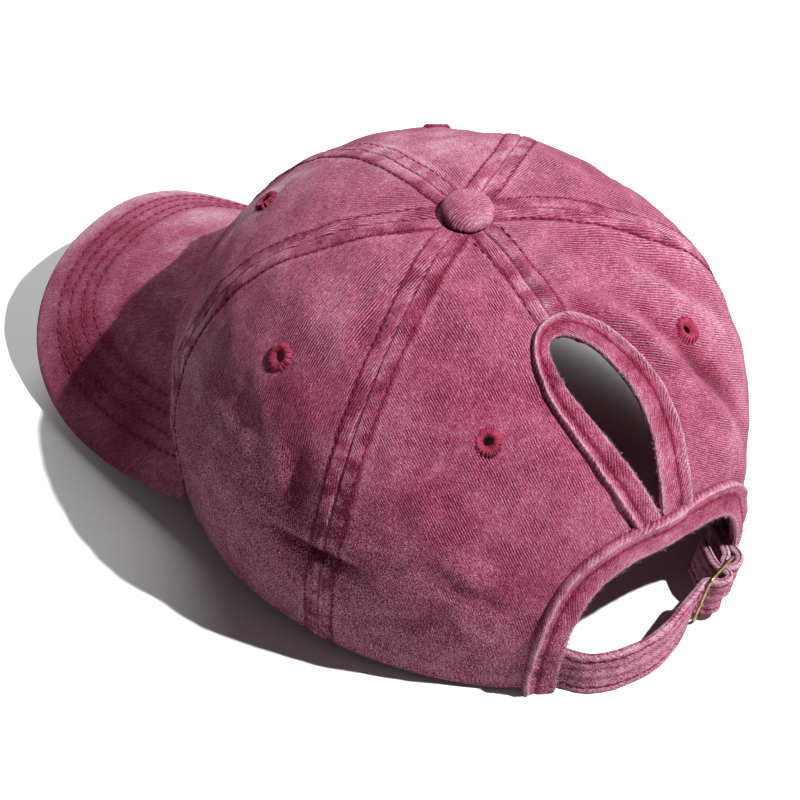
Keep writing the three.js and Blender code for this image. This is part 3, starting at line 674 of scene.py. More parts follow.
def arch_cutter():
    across, rise = arch_wave(np.linspace(0, 1, ARCH_FINE))
    x, z = (ARCH["inner_half"] + SET_BACK) * across, (ARCH["inner_top"] + SET_BACK) * rise
    run = run_of(np.stack([x, z], -1))
    at = np.linspace(0, run[-1], ARCH_POINTS)
    x, z = np.interp(at, run, x), np.interp(at, run, z)
    x, z = np.concatenate([x, x[[-1, 0]]]), np.concatenate([z, [ARCH_BELOW, ARCH_BELOW]])
    count = len(x)
    points = np.concatenate([np.stack([x, np.full(count, y), z], -1) for y in ARCH_REACH])
    k, n = ring_steps(count)
    faces = [k.tolist(), (count + k[::-1]).tolist()]
    faces += np.stack([n, k, k + count, n + count], -1).tolist()
    cutter = raw_object("arch_cutter", points, faces)
    face_out(cutter)
    return cutter


def slot_cutter():
    part = 1 - (1 - np.linspace(0, 1, SLOT_CUT_ROWS)) ** 2
    left, climb = slot_edge(1, part, SET_BACK)
    right, _ = slot_edge(-1, part, SET_BACK)
    share = np.linspace(0, 1, SLOT_CUT_COLUMNS)[:, None]
    x = left + (right - left) * share
    turn = back_at(x, climb)
    base, normal = crown(turn, climb), crown_normal(turn, climb)
    return plain_solid("slot_cutter", base + SLOT_REACH * normal, base - SLOT_REACH * normal)


def air_cutter(turn, climb):
    count = AIR_SIDES
    a = np.linspace(0, 2 * np.pi, count + 1)[:-1]
    ring = np.stack([np.cos(a), np.sin(a), 0 * a], -1) * AIR_HOLE
    centre, turned = crown(turn, climb), np.array(upright(crown_normal(turn, climb)))
    ends = [-AIR_REACH, AIR_REACH]
    rings = [centre + (ring + [0, 0, height]) @ turned.T for height in ends]
    tips = [[centre + turned @ [0, 0, height]] for height in ends]
    k, n = ring_steps(count)
    sides = np.stack([k, n, n + count, k + count], -1).tolist()
    low = np.stack([n, k, np.full(count, 2 * count)], -1).tolist()
    high = np.stack([k + count, n + count, np.full(count, 2 * count + 1)], -1).tolist()
    return raw_object("air_cutter", np.concatenate(rings + tips), sides + low + high)


def cut(obj, cutters):
    """Cuts solids out of a piece, and keeps the result as its plain mesh."""
    for cutter in cutters:
        step = obj.modifiers.new("cut", "BOOLEAN")
        step.operation, step.solver, step.object = "DIFFERENCE", "MANIFOLD", cutter
    shaped = obj.evaluated_get(bpy.context.evaluated_depsgraph_get())
    mesh = bpy.data.meshes.new_from_object(shaped)
    obj.modifiers.clear()
    old, obj.data = obj.data, mesh
    mesh.name = old.name
    bpy.data.meshes.remove(old)
    mesh.shade_smooth()
    mesh.set_sharp_from_angle(angle=SHARP)


cutters = {"arch": arch_cutter(), "slot": slot_cutter()}
for part, (turn, climb) in EYELETS.items():
    air = air_cutter(turn, climb)
    tools = [air] + ([cutters["arch"], cutters["slot"]] if part.startswith("back") else [])
    cut(panels[part + "_panel"], tools)
    bpy.data.objects.remove(air)
for tool in cutters.values():
    bpy.data.objects.remove(tool)
print({name: len(obj.data.polygons) for name, obj in panels.items()})

# %% [markdown]
# ## Bound edges
# A strip of the same twill is folded and stitched round the slot and round the arch. Its folded
# outer side stands up as a fat rounded ridge, a stitched valley follows, and a flat zone runs to
# a raw edge that has frayed in the wash. The strip is laid on the crown by its own rule: from 0
# at the raw edge to 1 at the ridge's outer foot.

# %% Binding section
COLUMNS = np.concatenate([np.linspace(0, 0.5, 11), np.linspace(0.53, 1, 22)])
VALLEY, CREST = 0.58, 0.87  # across the strip: the stitched valley, and the top of the ridge
UNDER_STRIP = 0.25  # share of a seam's height that is left under a binding
STRIP_GAP = 0.12  # between the crown and the strip, in mm


def binding_section(across, along, points):
    """Height over the crown, pale and dark share, across a bound edge."""
    uneven = waves(points, 11, 21)
    pull = np.sin(along * 1.35 + 5 * across + 1.8 * uneven)
    crest = CREST + 0.02 * uneven
    ridge = 1.1 * bell((across - crest) / 0.075) ** 0.8
    valley = bell((across - VALLEY) / 0.05)
    fall = smooth(0.93, 1.0, across)
    flat = 1.35 + 0.1 * waves(points, 8, 22)
    height = flat + ridge * (1 + 0.12 * uneven) - 0.3 * valley + 0.09 * pull * (1 - fall)
    height = height * (1 - 0.75 * fall) - 0.35 * bell(across / 0.02)
    pale_share = 0.8 * bell((across - crest) / 0.09) * (0.8 + 0.2 * uneven) + 0.6 * bell(across / 0.09)
    # painted shade: the ridge's outer foot, where the strip falls to the crown, is darkened by fall
    dark = 0.5 * valley + 0.6 * fall + 0.55 * bell((across - 0.54) / 0.14) * (0.6 + 0.4 * uneven)
    dark = dark + 0.3 * bell((across - 0.3) / 0.2) * np.clip(waves(points, 7, 23), 0, 1)
    return np.maximum(height, 0.3), pale_share, dark


def lay_binding(name, turn, climb, along, width, over=None, lean=28):
    """A strip on the crown. Rows follow its length, columns go from raw edge to ridge."""
    across = np.broadcast_to(COLUMNS, turn.shape)
    points, normal, _, _ = cap_surface(turn, climb, seams=UNDER_STRIP)
    run = np.broadcast_to(along[:, None], turn.shape)
    height, pale_share, dark = binding_section(across, run, points)
    under = STRIP_GAP
    if over is not None:
        lift = over(points, across)
        height, under = height + lift, (under + 0.9 * lift)[..., None]
    outer = points + normal * height[..., None]
    inner = points + normal * under
    flat = lay_weave(np.stack([across * width, run], -1), lean)
    return two_faced(name, outer, inner, flat, pale_share, dark)


print("binding columns:", len(COLUMNS))

# %% Bindings round the slot and the arch
STRIP = 10.5  # width of the folded strip, in mm
SLOT_ROWS, ARCH_ROWS = 150, 210
ARCH_FOOT = 0.5  # height of the arch strip's ends over the floor, in mm
SLOT_TUCK = 2.2  # degrees that the slot strip's feet run down under the arch strip
MIDDLE_COLUMN = 20  # a strip's length is measured along this one


def slot_grid(columns):
    """Turn and climb of each point of the slot's strip, up one side and down the other."""
    reach = np.linspace(0, 1, SLOT_ROWS)
    part = 1 - (1 - reach) ** 2
    turns, climbs = [], []
    for side, order in ((1, slice(None)), (-1, slice(-2, None, -1))):
        edge_x, edge_climb = slot_edge(side, part)
        ridge_x, ridge_climb = slot_ridge(side, part)
        x = edge_x[:, None] + (ridge_x - edge_x)[:, None] * columns
        climb = edge_climb[:, None] + (ridge_climb - edge_climb)[:, None] * columns
        climb = climb - SLOT_TUCK * bell(reach / 0.09)[:, None]
        turns.append(back_at(x, climb)[order])
        climbs.append(climb[order])
    return np.concatenate(turns), np.concatenate(climbs)


def arch_grid(columns):
    """Turn and climb of each point of the arch's strip, from foot to foot."""
    fine = np.linspace(0, 1, ARCH_FINE)
    across, rise = arch_wave(fine)
    line = np.stack([across * ARCH["inner_half"], rise * ARCH["inner_top"]], -1)
    run = run_of(line)
    part = np.interp(np.linspace(0, run[-1], ARCH_ROWS), run, fine)
    across, rise = (v[:, None] for v in arch_wave(part))
    x = across * (ARCH["inner_half"] + (ARCH["outer_half"] - ARCH["inner_half"]) * columns)
    z = rise * (ARCH["inner_top"] + (ARCH["outer_top"] - ARCH["inner_top"]) * columns)
    return back_seen(x, np.maximum(z, ARCH_FOOT))


def step_over(points, across):
    """The arch's strip climbs over the two feet of the slot's strip."""
    feet = bell((points[..., 0] - 1) / 13)
    return 1.3 * feet * smooth(0.35, 0.75, across)


def strip_run(places):
    """Length along the middle of a strip, up to each of its rows."""
    return run_of(crown(*(grid[:, MIDDLE_COLUMN] for grid in places)))


slot_places = slot_grid(COLUMNS)
slot_run = strip_run(slot_places)
slot_binding = lay_binding("ponytail_binding", *slot_places, slot_run, STRIP)
arch_places = arch_grid(COLUMNS)
arch_run = strip_run(arch_places)
arch_binding = lay_binding("arch_binding", *arch_places, arch_run, STRIP, step_over, lean=-30)
print("slot edge", round(float(slot_run[-1])), "mm, arch edge", round(float(arch_run[-1])), "mm")

# %% [markdown]
# ## Peak
# The peak is a stiff board in cloth, bent over the brow and turned a little to the left. Its
# height is a rule over its plan. Four rows of stitching follow its outer edge, about 4 mm apart,
# and draw the cloth into soft ribs, on its upper and lower side alike. The distance to the
# outline, not the grid, places the rows, because near the corners they run out under the crown.

# %% Peak outline
PEAK = {"turn": 12, "shift": 2.5, "half": 70.2, "depth": 112.8, "start": -39.6, "power": 3.14}
BOARD = {"crest": 42.6, "fall": -0.227, "lift": 0.00058, "bend": 0.0086, "tilt": 0.011, "y": -92.7}
PEAK_THICK, PEAK_GAP, PEAK_BLEND = 3.0, 0.4, 14.0
FAN_Y = -20.0  # the peak is laid out as a fan round this place on its own middle line
PEAK_ROWS = (8.2, 12.3, 16.8, 21.0)  # mm in from the outer edge
PEAK_TURN = math.radians(PEAK["turn"])
PEAK_COS, PEAK_SIN = math.cos(PEAK_TURN), math.sin(PEAK_TURN)
CORNER_ROOM = 1.6  # the peak ends where its outline comes this near to the rim


def peak_to_cap(x, y):
    """From the peak's own plan to the plan of the cap."""
    x = x + PEAK["shift"]
    return x * PEAK_COS - y * PEAK_SIN, x * PEAK_SIN + y * PEAK_COS


def rim_fan():
    """Angle, reach and height of the crown's rim, seen from the middle of the fan."""
    turn = np.arange(-70.0, 101.0)
    out = crown_normal(turn, 0.0 * turn)
    out[:, 2] = 0
    at = crown(turn, 0.0) + PEAK_GAP * out / np.linalg.norm(out, axis=-1, keepdims=True)
    x = at[:, 0] * PEAK_COS + at[:, 1] * PEAK_SIN - PEAK["shift"]
    y = at[:, 1] * PEAK_COS - at[:, 0] * PEAK_SIN
    angle = np.degrees(np.arctan2(x, FAN_Y - y))
    order = np.argsort(angle)
    return angle[order], np.hypot(x, y - FAN_Y)[order], at[order, 2]


RIM_ANGLE, RIM_REACH, RIM_Z = rim_fan()


def outer_reach(angle):
    """How far the peak's outline lies from the middle of the fan."""
    a = np.radians(angle)
    low, high = np.full(a.shape, 20.0), np.full(a.shape, 200.0)
    for _ in range(40):
        reach = (low + high) / 2
        ahead = np.maximum(0, PEAK["start"] - FAN_Y + reach * np.cos(a))
        wide = (np.abs(reach * np.sin(a)) / PEAK["half"]) ** PEAK["power"]
        inside = wide + (ahead / PEAK["depth"]) ** PEAK["power"] < 1
        low, high = np.where(inside, reach, low), np.where(inside, high, reach)
    return low


def corner(sign):
    """Angle at which the peak's outline runs in under the crown."""
    angle = np.arange(30, 120, 0.25)
    room = outer_reach(sign * angle) - np.interp(sign * angle, RIM_ANGLE, RIM_REACH)
    return sign * float(angle[np.argmax(room <= CORNER_ROOM)])


def board_height(x, y):
    """Middle of the board at a place of the peak's plan."""
    angle = np.degrees(np.arctan2(x, FAN_Y - y))
    reach, rim = np.hypot(x, y - FAN_Y), np.interp(angle, RIM_ANGLE, RIM_REACH)

    def sheet(px, py):
        ahead = BOARD["y"] - py
        slope = BOARD["fall"] * ahead + BOARD["lift"] * ahead**2
        return BOARD["crest"] + slope - BOARD["bend"] * px**2 + BOARD["tilt"] * px

    a = np.radians(angle)
    at_rim = sheet(rim * np.sin(a), FAN_Y - rim * np.cos(a))
    miss = np.interp(angle, RIM_ANGLE, RIM_Z) + PEAK_THICK / 2 - at_rim
    return sheet(x, y) + miss * bell((reach - rim) / PEAK_BLEND)


CORNERS = corner(-1), corner(1)
edge_angle = np.linspace(CORNERS[0] - 6, CORNERS[1] + 6, 700)
edge_reach = outer_reach(edge_angle)
OUTLINE = np.stack([edge_reach * np.sin(np.radians(edge_angle)),
                    FAN_Y - edge_reach * np.cos(np.radians(edge_angle))], -1)
print("peak corners at", [round(c) for c in CORNERS], "degrees")

# %% Peak solid
EDGE_STEPS = np.concatenate([[0, 0.12, 0.35, 0.7, 1.1, 1.6, 2.3, 3.2, 4.2, 5.4, 6.6],
                             np.arange(7.5, 24, 0.42), np.linspace(25.2, 78, 30)])
PEAK_COLUMNS = 300
# painted shade: the first two darken the peak's near left, carrying on the crown's shadow there; the
# third darkens it near the front tip
PEAK_PAINTED_SHADE_AND_DARK = (  # x, ahead and reach in mm, dark share
    (51, 118, 14, 0.6),
    (66, 90, 13, 0.4),
    (8, 132, 16, 0.25),
)
PEAK_SKIN = 0.15  # left off the board on each side for the ribs to rise into
EDGE_ROLL = 1.5  # the outer edge is rounded over this, in mm
PEAK_LIE = np.array([[0.8, -0.6], [0.6, 0.8]])  # the ribs lean by 37 degrees


def edge_distance(x, y):
    """Distance of places of the plan from the peak's outline."""
    flat = np.stack([x.ravel(), y.ravel()], -1)
    best = [np.linalg.norm(chunk[:, None] - OUTLINE, axis=-1).min(-1)
            for chunk in np.array_split(flat, 30)]
    return np.concatenate(best).reshape(x.shape)


def peak_relief(x, y, gap):
    """Height, pale share and dark share of the cloth on the peak, with painted light and painted
    shade.
    """
    points = np.stack([x, y, 0 * x], -1)
    uneven = waves(points, 13, 31)
    along = np.degrees(np.arctan2(x, FAN_Y - y)) * 1.9
    rows = sum(bell((gap - row) / 0.55) for row in PEAK_ROWS)  # valleys under the thread
    ribs = sum(bell((gap - row - 2.1) / 1.2) for row in PEAK_ROWS[:-1])
    pull = np.sin(along * 1.5 + gap * 0.5 + 2 * uneven)
    height = 0.1 * ribs - 0.13 * rows + 0.1 * pull * (ribs + rows) + 0.12 * uneven
    far = 1 - smooth(-34, 6, x)  # paler to the wearer's right, where the lamp lights the peak: partly painted highlight
    pale_share = 0.14 * ribs + 0.3 * bell((gap - 1.2) / 2.4) + 0.1 * uneven
    pale_share = pale_share + 0.4 * (1 - smooth(4, 9, gap)) + 0.45 * far * smooth(18, 30, gap)
    # painted shade: the pale is taken off the left side, which lies in the crown's shadow
    pale_share = pale_share * (1 - 0.85 * smooth(12, 45, x))
    between = 0.35 * smooth(5, 9, gap) * (1 - smooth(20, 26, gap))
    dark = 0.18 * rows + between * (0.7 + 0.3 * uneven)
    for across, ahead, reach, share in PEAK_PAINTED_SHADE_AND_DARK:
        dark = dark + share * bell(np.hypot(x - across, y + ahead) / reach)
    return height, pale_share, dark


def peak_grid():
    """Plan of the peak's grid from its outer edge to the rim, and how far in each point is."""
    u = np.linspace(0, 1, PEAK_COLUMNS)
    eased = u + 0.35 * (0.5 - 0.5 * np.cos(np.pi * u) - u)
    angle = CORNERS[0] + (CORNERS[1] - CORNERS[0]) * eased
    rim, outer = np.interp(angle, RIM_ANGLE, RIM_REACH), outer_reach(angle)
    inward = spread(EDGE_STEPS, EDGE_STEPS[-1], outer - rim)
    reach = outer[:, None] - inward
    a = np.radians(angle)[:, None]
    return reach * np.sin(a), FAN_Y - reach * np.cos(a), inward


def make_peak():
    x, y, inward = peak_grid()
    gap = np.minimum(edge_distance(x, y), inward)
    height, pale_share, dark = peak_relief(x, y, gap)
    middle = board_height(x, y)
    half = PEAK_THICK / 2
    roll = np.clip(1 - gap / EDGE_ROLL, 0, 1)
    round_edge = half * (1 - np.sqrt(np.maximum(0, 1 - roll**2))) * 0.93
    cap_x, cap_y = peak_to_cap(x, y)
    rise = half - PEAK_SKIN + height - round_edge
    faces = [np.stack([cap_x, cap_y, middle + side * rise], -1) for side in (1, -1)]
    return two_faced("peak", *faces, np.stack([x, y], -1) @ PEAK_LIE, pale_share, dark)


peak = make_peak()
print("peak faces:", len(peak.data.polygons))

# %% [markdown]
# ## Strap, tab and brass slide
# The strap is a strip of twill folded in on both sides and stitched along both edges, so its edges
# are two plies with a line between them. It stands on edge: from the left foot of the arch it bows
# out along the floor, lifts into the slide, passes over the middle bar and ends inside. The tab is
# a shorter strip folded round the slide's far bar. Both are swept sections along a smooth route.

# %% Routes of the strap and the tab
SLIDE = {"x": -22.6, "y": 98.7, "z": 12.1, "heading": 192.4, "lean": 9.7}
STRAP_TALL, STRAP_THICK, TAB_THICK = 17.4, 2.4, 2.6
HEADING = math.radians(SLIDE["heading"])
ALONG = np.array([math.cos(HEADING), math.sin(HEADING)])
OUT = np.array([ALONG[1], -ALONG[0]])
LEAN_SLOPE = math.tan(math.radians(SLIDE["lean"]))
SLIDE_FOOT = SLIDE["z"] - STRAP_TALL / 2
FOLD_ROOM = 1.3 / 2 + 0.1  # from the middle of the slide's far bar to the tab's inner face
PLY_GAP = 0.2  # between the two plies of the tab, in mm
STRAP_STEPS, TAB_STEPS = 230, 170
STRAP_FREE = (  # x, y, height of its lower edge
    (43.6, 77, 0), (39.1, 80.8, 0), (35.2, 84.6, 0), (31.9, 89.9, 0), (28.4, 95.6, 0),
    (21.5, 100.2, 0), (13, 102.4, 0), (4, 103, 0), (-4.5, 101.2, 0.4),
)
STRAP_HELD = (  # along the slide and out of its plane
    (-12.7, -1.5), (-8.2, -2), (-5.2, -1.9), (-3.4, 0), (-2.2, 2), (0, 3), (1.6, 2.5),
    (2.33, 0.9), (2.35, -1.3), (3.2, -3.9), (4.7, -6.2), (6.8, -9), (8.6, -11.4),
)
TAB_ROUTE = (  # along, out, share of the slide's lean
    (6.55, 0, 1), (8.8, -0.7, 1), (11.2, -3.4, 0.6), (13.7, -6.9, 0.3), (16.8, -10, 0),
    (20.6, -12, 0),
)


def slide_plan(along, out):
    """A place in the plan, from how far it is along the slide and out of its plane."""
    return np.array([SLIDE["x"], SLIDE["y"]]) + ALONG * along + OUT * out


def smooth_route(stations, steps):
    """A centripetal curve through stations, sampled evenly along its length."""
    p = np.vstack([2 * stations[0] - stations[1], stations, 2 * stations[-1] - stations[-2]])
    d = np.sqrt(np.linalg.norm(np.diff(p[:, :3], axis=0), axis=-1)) + 1e-6
    pieces = []
    for i in range(len(stations) - 1):
        a, b, c = d[i], d[i + 1], d[i + 2]
        x0, x1, x2, x3 = p[i:i + 4]
        t1 = ((x1 - x0) / a - (x2 - x0) / (a + b) + (x2 - x1) / b) * b
        t2 = ((x2 - x1) / b - (x3 - x1) / (b + c) + (x3 - x2) / c) * b
        w = np.linspace(0, 1, 40)[:, None]
        cubic = (-3 * x1 + 3 * x2 - 2 * t1 - t2) * w**2 + (2 * x1 - 2 * x2 + t1 + t2) * w**3
        pieces.append(x1 + t1 * w + cubic)
    fine = np.concatenate(pieces)
    run = run_of(fine[:, :3])
    at = np.linspace(0, run[-1], steps)
    return np.stack([np.interp(at, run, fine[:, k]) for k in range(fine.shape[1])], -1), at


def strap_route():
    """From the arch's left foot along the floor, then through the slide."""
    held = [(*slide_plan(a, o), SLIDE_FOOT, 1.0) for a, o in STRAP_HELD]
    held[0] = (*held[0][:2], 0.5 * SLIDE_FOOT, 0.5)
    return smooth_route(np.array([(*s, 0.0) for s in STRAP_FREE] + held), STRAP_STEPS)


def tab_route():
    """Out along one side of the far bar, round it, and back along the other side."""
    fold_reach = FOLD_ROOM + TAB_THICK / 2
    plan = np.array(TAB_ROUTE)
    step = np.gradient(plan[:, :2], axis=0)
    step = step / np.linalg.norm(step, axis=1, keepdims=True)
    apart = np.where(np.arange(len(plan)) < 2, fold_reach, (TAB_THICK + PLY_GAP) / 2)
    sides = {}
    for sign in (1, -1):
        along = plan[:, 0] - sign * apart * step[:, 1]
        out = plan[:, 1] + sign * apart * step[:, 0]
        sides[sign] = [(*slide_plan(a, o), SLIDE_FOOT, lean)
                       for a, o, lean in zip(along, out, plan[:, 2])]
    fold = []
    for angle in np.radians([45, 0, -45]):
        turned = fold_reach * np.array([-math.cos(angle), math.sin(angle)])
        fold.append((*slide_plan(*(plan[0, :2] + turned)), SLIDE_FOOT, 1.0))
    return smooth_route(np.array(sides[1][::-1] + fold + sides[-1]), TAB_STEPS)


print("strap length", round(float(strap_route()[1][-1])), "mm")

# %% Folded strip section, swept along a route
HEM = 2.7  # from each edge of the strip to its row of stitches, in mm
SOFT_LINE, SOFT_RIDGE = 6.3, 8.7  # a soft hollow, and a ridge along the middle, in mm
SIDE_POINTS = 56  # points of the section up each side
LOWEST = 0.02  # height of the strap's lower edge over the floor, in mm
BAND_SHARP = 1.2  # radians, so that the rolled edges stay soft


def strip_section(thick):
    """Closed outline of the strip: how far out of its middle, and how high."""
    up = np.concatenate([np.linspace(0, 5, 22), np.linspace(5.6, STRAP_TALL - 5.6, 12),
                         np.linspace(STRAP_TALL - 5, STRAP_TALL, 22)])
    edge = np.minimum(up, STRAP_TALL - up)
    rolled, stitched = 0.2 * bell((edge - 1.1) / 0.9), 0.28 * bell((edge - HEM) / 0.45)
    half = thick / 2 * (1 - 0.16 + rolled - stitched)
    half = half * np.sqrt(np.clip(1 - (1 - np.minimum(edge / 0.9, 1)) ** 2 * 0.75, 0, 1))
    cap = np.linspace(1, -1, 9)[1:-1]
    dip = 0.8 * bell(cap / 0.26)
    top = np.stack([half[-1] * cap, STRAP_TALL - dip + 0.25 * (1 - cap**2)], -1)
    low = np.stack([-half[0] * cap, dip - 0.25 * (1 - cap**2)], -1)
    return np.concatenate([np.stack([half, up], -1), top, np.stack([-half, up], -1)[::-1], low])


def band_points(route, section):
    """The section at each station of a route, leaning with the slide where it is held."""
    plan, foot, lean = route[:, :2], np.maximum(route[:, 2], 0), np.clip(route[:, 3], 0, 1)
    way = np.gradient(plan, axis=0)
    way = way / np.linalg.norm(way, axis=1, keepdims=True)
    side = np.stack([way[:, 1], -way[:, 0]], -1)
    z = foot[:, None] + np.maximum(section[None, :, 1], LOWEST)
    shift = lean[:, None] * LEAN_SLOPE * (z - SLIDE["z"])
    width = section[None, :, 0, None]
    xy = plan[:, None] + side[:, None] * width + OUT * shift[..., None]
    return np.concatenate([xy, z[..., None]], -1)


def make_band(name, route, run, thick, lean=35):
    """A strap or tab: its section swept along a route, with its soft lines and its wash."""
    section = strip_section(thick)
    points = band_points(route, section)
    rows, cols = points.shape[:2]
    up = np.broadcast_to(section[:, 1], (rows, cols))
    along = np.broadcast_to(run[:, None], (rows, cols))
    uneven = waves(points, 9, 41)
    edge = np.minimum(up, STRAP_TALL - up)
    band = np.gradient(points, axis=0)
    outward = np.cross(band, np.roll(points, -1, 1) - np.roll(points, 1, 1))
    outward = outward / (np.linalg.norm(outward, axis=-1, keepdims=True) + 1e-9)
    pull = np.sin(along * 1.9 + up * 0.8 + 2 * uneven) * bell((edge - HEM) / 2.2)
    bump = 0.1 * uneven + 0.09 * pull
    bump = bump - 0.2 * bell((edge - SOFT_LINE) / 0.8) + 0.12 * bell((edge - SOFT_RIDGE) / 1.2)
    points = points + outward * bump[..., None]
    points[..., 2] = np.maximum(points[..., 2], LOWEST)
    pale_share = 0.7 * bell(edge / 0.8) * (0.8 + 0.2 * uneven) + 0.1 + 0.15 * pull
    pale_share = pale_share + 0.3 * bell((edge - SOFT_RIDGE) / 1.1) + 0.12 * bell((edge - 4.4) / 0.9)
    dark = 0.5 * bell((edge - HEM) / 0.45) + 0.3 * bell((edge - SOFT_LINE) / 0.7)
    dark = dark + 0.8 * bell(np.broadcast_to(section[:, 0], up.shape) / 0.3) * bell(edge / 0.9)
    quads = sheet_quads(rows, cols, wrap=True)
    k = np.arange(cols // 2 - 1)
    end = np.stack([k, k + 1, cols - 2 - k, cols - 1 - k], -1)
    quads = np.concatenate([quads, end[:, ::-1], end + (rows - 1) * cols])
    flat = lay_weave(np.stack([up, along], -1).reshape(-1, 2), lean)
    return build(name, points.reshape(-1, 3), quads, flat, pale_share.ravel(), dark.ravel(),
                 BAND_SHARP)


strap_path, strap_run = strap_route()
tab_path, tab_run = tab_route()
strap = make_band("strap", strap_path, strap_run, STRAP_THICK)
tab = make_band("strap_tab", tab_path, tab_run, TAB_THICK, lean=-35)
print("strap faces:", len(strap.data.polygons), "tab faces:", len(tab.data.polygons))

# %% [markdown]
# ## Brass slide
# The slide is flat brass wire: an upright frame with rounded corners and a middle bar. It is a
# closed section swept round a rounded rectangle, which keeps the soft rolled edges that a plain
# box would miss. The middle bar is a second short sweep that ends inside the frame's rails.

# %% Wire frame of the slide
SLIDE_SIZE = {"long": 14.4, "tall": 23.0, "wire": 1.1, "thick": 0.9, "corner": 1.6}
WIRE_SIDES, WIRE_POWER, BAR_POINTS = 16, 0.6, 12
SLIDE_UP = Vector((OUT[0] * LEAN_SLOPE, OUT[1] * LEAN_SLOPE, 1)).normalized()
SLIDE_AXES = np.array([[*ALONG, 0], SLIDE_UP, Vector((*ALONG, 0)).cross(SLIDE_UP)])


def ring_path():
    """Middle line of the slide's frame: a rectangle with round corners."""
    half_long = (SLIDE_SIZE["long"] - SLIDE_SIZE["wire"]) / 2
    half_tall = (SLIDE_SIZE["tall"] - SLIDE_SIZE["wire"]) / 2
    r, path = SLIDE_SIZE["corner"], []
    for sx, sy, start in ((1, 1, 0), (-1, 1, 90), (-1, -1, 180), (1, -1, 270)):
        for angle in np.radians(start + np.linspace(0, 90, 9)):
            path.append((sx * (half_long - r) + r * math.cos(angle),
                         sy * (half_tall - r) + r * math.sin(angle)))
    return np.array(path)


def flattened(wave, size):
    """Half of a wire's section in one direction, squarer than round."""
    return np.sign(wave) * np.abs(wave) ** WIRE_POWER * size / 2


def wire(path, closed):
    """Sweep of the flat wire along a path in the slide's own plane."""
    a = np.linspace(0, 2 * np.pi, WIRE_SIDES + 1)[:-1]
    wide = flattened(np.cos(a), SLIDE_SIZE["wire"])
    deep = flattened(np.sin(a), SLIDE_SIZE["thick"])
    before = np.roll(path, 1, 0) if closed else np.vstack([path[:1], path[:-1]])
    after = np.roll(path, -1, 0) if closed else np.vstack([path[1:], path[-1:]])
    way = (after - before) / np.linalg.norm(after - before, axis=1, keepdims=True)
    side = np.stack([way[:, 1], -way[:, 0]], -1)
    xy = path[:, None] + side[:, None] * wide[None, :, None]
    z = np.broadcast_to(deep[None, :, None], (*xy.shape[:2], 1))
    quads = sheet_quads(len(path), WIRE_SIDES, wrap=True)
    if closed:
        k, n = ring_steps(WIRE_SIDES)
        last = (len(path) - 1) * WIRE_SIDES
        quads = np.concatenate([quads, np.stack([last + k, last + n, n, k], -1)])
    return np.concatenate([xy, z], -1).reshape(-1, 3), quads


def make_slide():
    frame_points, frame_quads = wire(ring_path(), True)
    reach = SLIDE_SIZE["tall"] / 2 - SLIDE_SIZE["wire"] * 0.9
    bar = np.stack([np.zeros(BAR_POINTS), np.linspace(-reach, reach, BAR_POINTS)], -1)
    bar_points, bar_quads = wire(bar, False)
    points = np.concatenate([frame_points, bar_points]) @ SLIDE_AXES
    first = len(frame_points)
    last = first + (BAR_POINTS - 1) * WIRE_SIDES
    k = np.arange(WIRE_SIDES)
    faces = frame_quads.tolist() + (bar_quads + first).tolist()
    faces += [(first + k).tolist(), (last + k[::-1]).tolist()]
    slide = raw_object("buckle", points + [SLIDE["x"], SLIDE["y"], SLIDE["z"]], faces)
    slide.data.shade_smooth()
    slide.data.set_sharp_from_angle(angle=1.0)
    face_out(slide)
    return slide


buckle = make_slide()
print("slide faces:", len(buckle.data.polygons))

# %% [markdown]
# ## Button
# A domed button is covered with a disc of twill, gathered under its rim. It is a turned form with
# a few shallow pleats near the rim, where the cloth is gathered.

# %% Covered button
BUTTON = {"radius": 8.1, "height": 5.6, "gap": 0.1, "around": 96}
BUTTON_LIE = np.array([[-0.1, 1], [-1, -0.1]])  # the ribs are turned by a little over 90 degrees


def make_button():
    a = np.linspace(0, 2 * np.pi, BUTTON["around"] + 1)[:-1]
    t = np.linspace(0, 1, 30)
    low = np.stack([np.linspace(5.5, 7.6, 5), np.zeros(5)], -1)
    dome = np.stack([BUTTON["radius"] * np.cos(t * np.pi / 2) ** 0.55,
                     1.0 + (BUTTON["height"] - 1.0) * np.sin(t * np.pi / 2) ** 1.1], -1)[:-1]
    profile = np.concatenate([low, dome])
    pleat = 0.1 * np.sin(22 * a) + 0.08 * np.sin(9 * a + 1)
    fade = bell((profile[:, 1] - 0.9) / 1.4)
    radius = profile[:, :1] + fade[:, None] * pleat
    grid = np.stack([radius * np.cos(a), radius * np.sin(a),
                     np.broadcast_to(profile[:, 1:], radius.shape)], -1)
    centre, axis = crown(90, 90), Vector(crown_normal(90, 90))
    turned = np.array(upright(axis))
    points = np.concatenate([grid.reshape(-1, 3), [[0, 0, 0], [0, 0, BUTTON["height"]]]])
    flat = points[:, :2] @ BUTTON_LIE
    pale_share = 0.1 + 0.25 * bell((points[:, 2] - 4) / 1.6)
    # painted shade: the button's foot under its rim is darkened
    dark = 0.7 * bell(points[:, 2] / 1.1)
    lumps = 0.12 * waves(points, 5, 51) * smooth(0.5, 2, points[:, 2])
    points[:, 2] += lumps
    rows, cols = grid.shape[:2]
    quads = sheet_quads(rows, cols, wrap=True).tolist()
    last = (rows - 1) * cols
    for k in range(cols):
        n = (k + 1) % cols
        quads.append([n, k, rows * cols])
        quads.append([last + k, last + n, rows * cols + 1])
    placed = points @ turned.T + centre + np.array(axis) * BUTTON["gap"]
    cover = raw_object("top_button", placed, quads)
    map_mesh(cover.data, flat)
    tint_mesh(cover.data, pale_share, dark)
    cover.data.shade_smooth()
    face_out(cover)
    return cover


button = make_button()
print("button faces:", len(button.data.polygons))

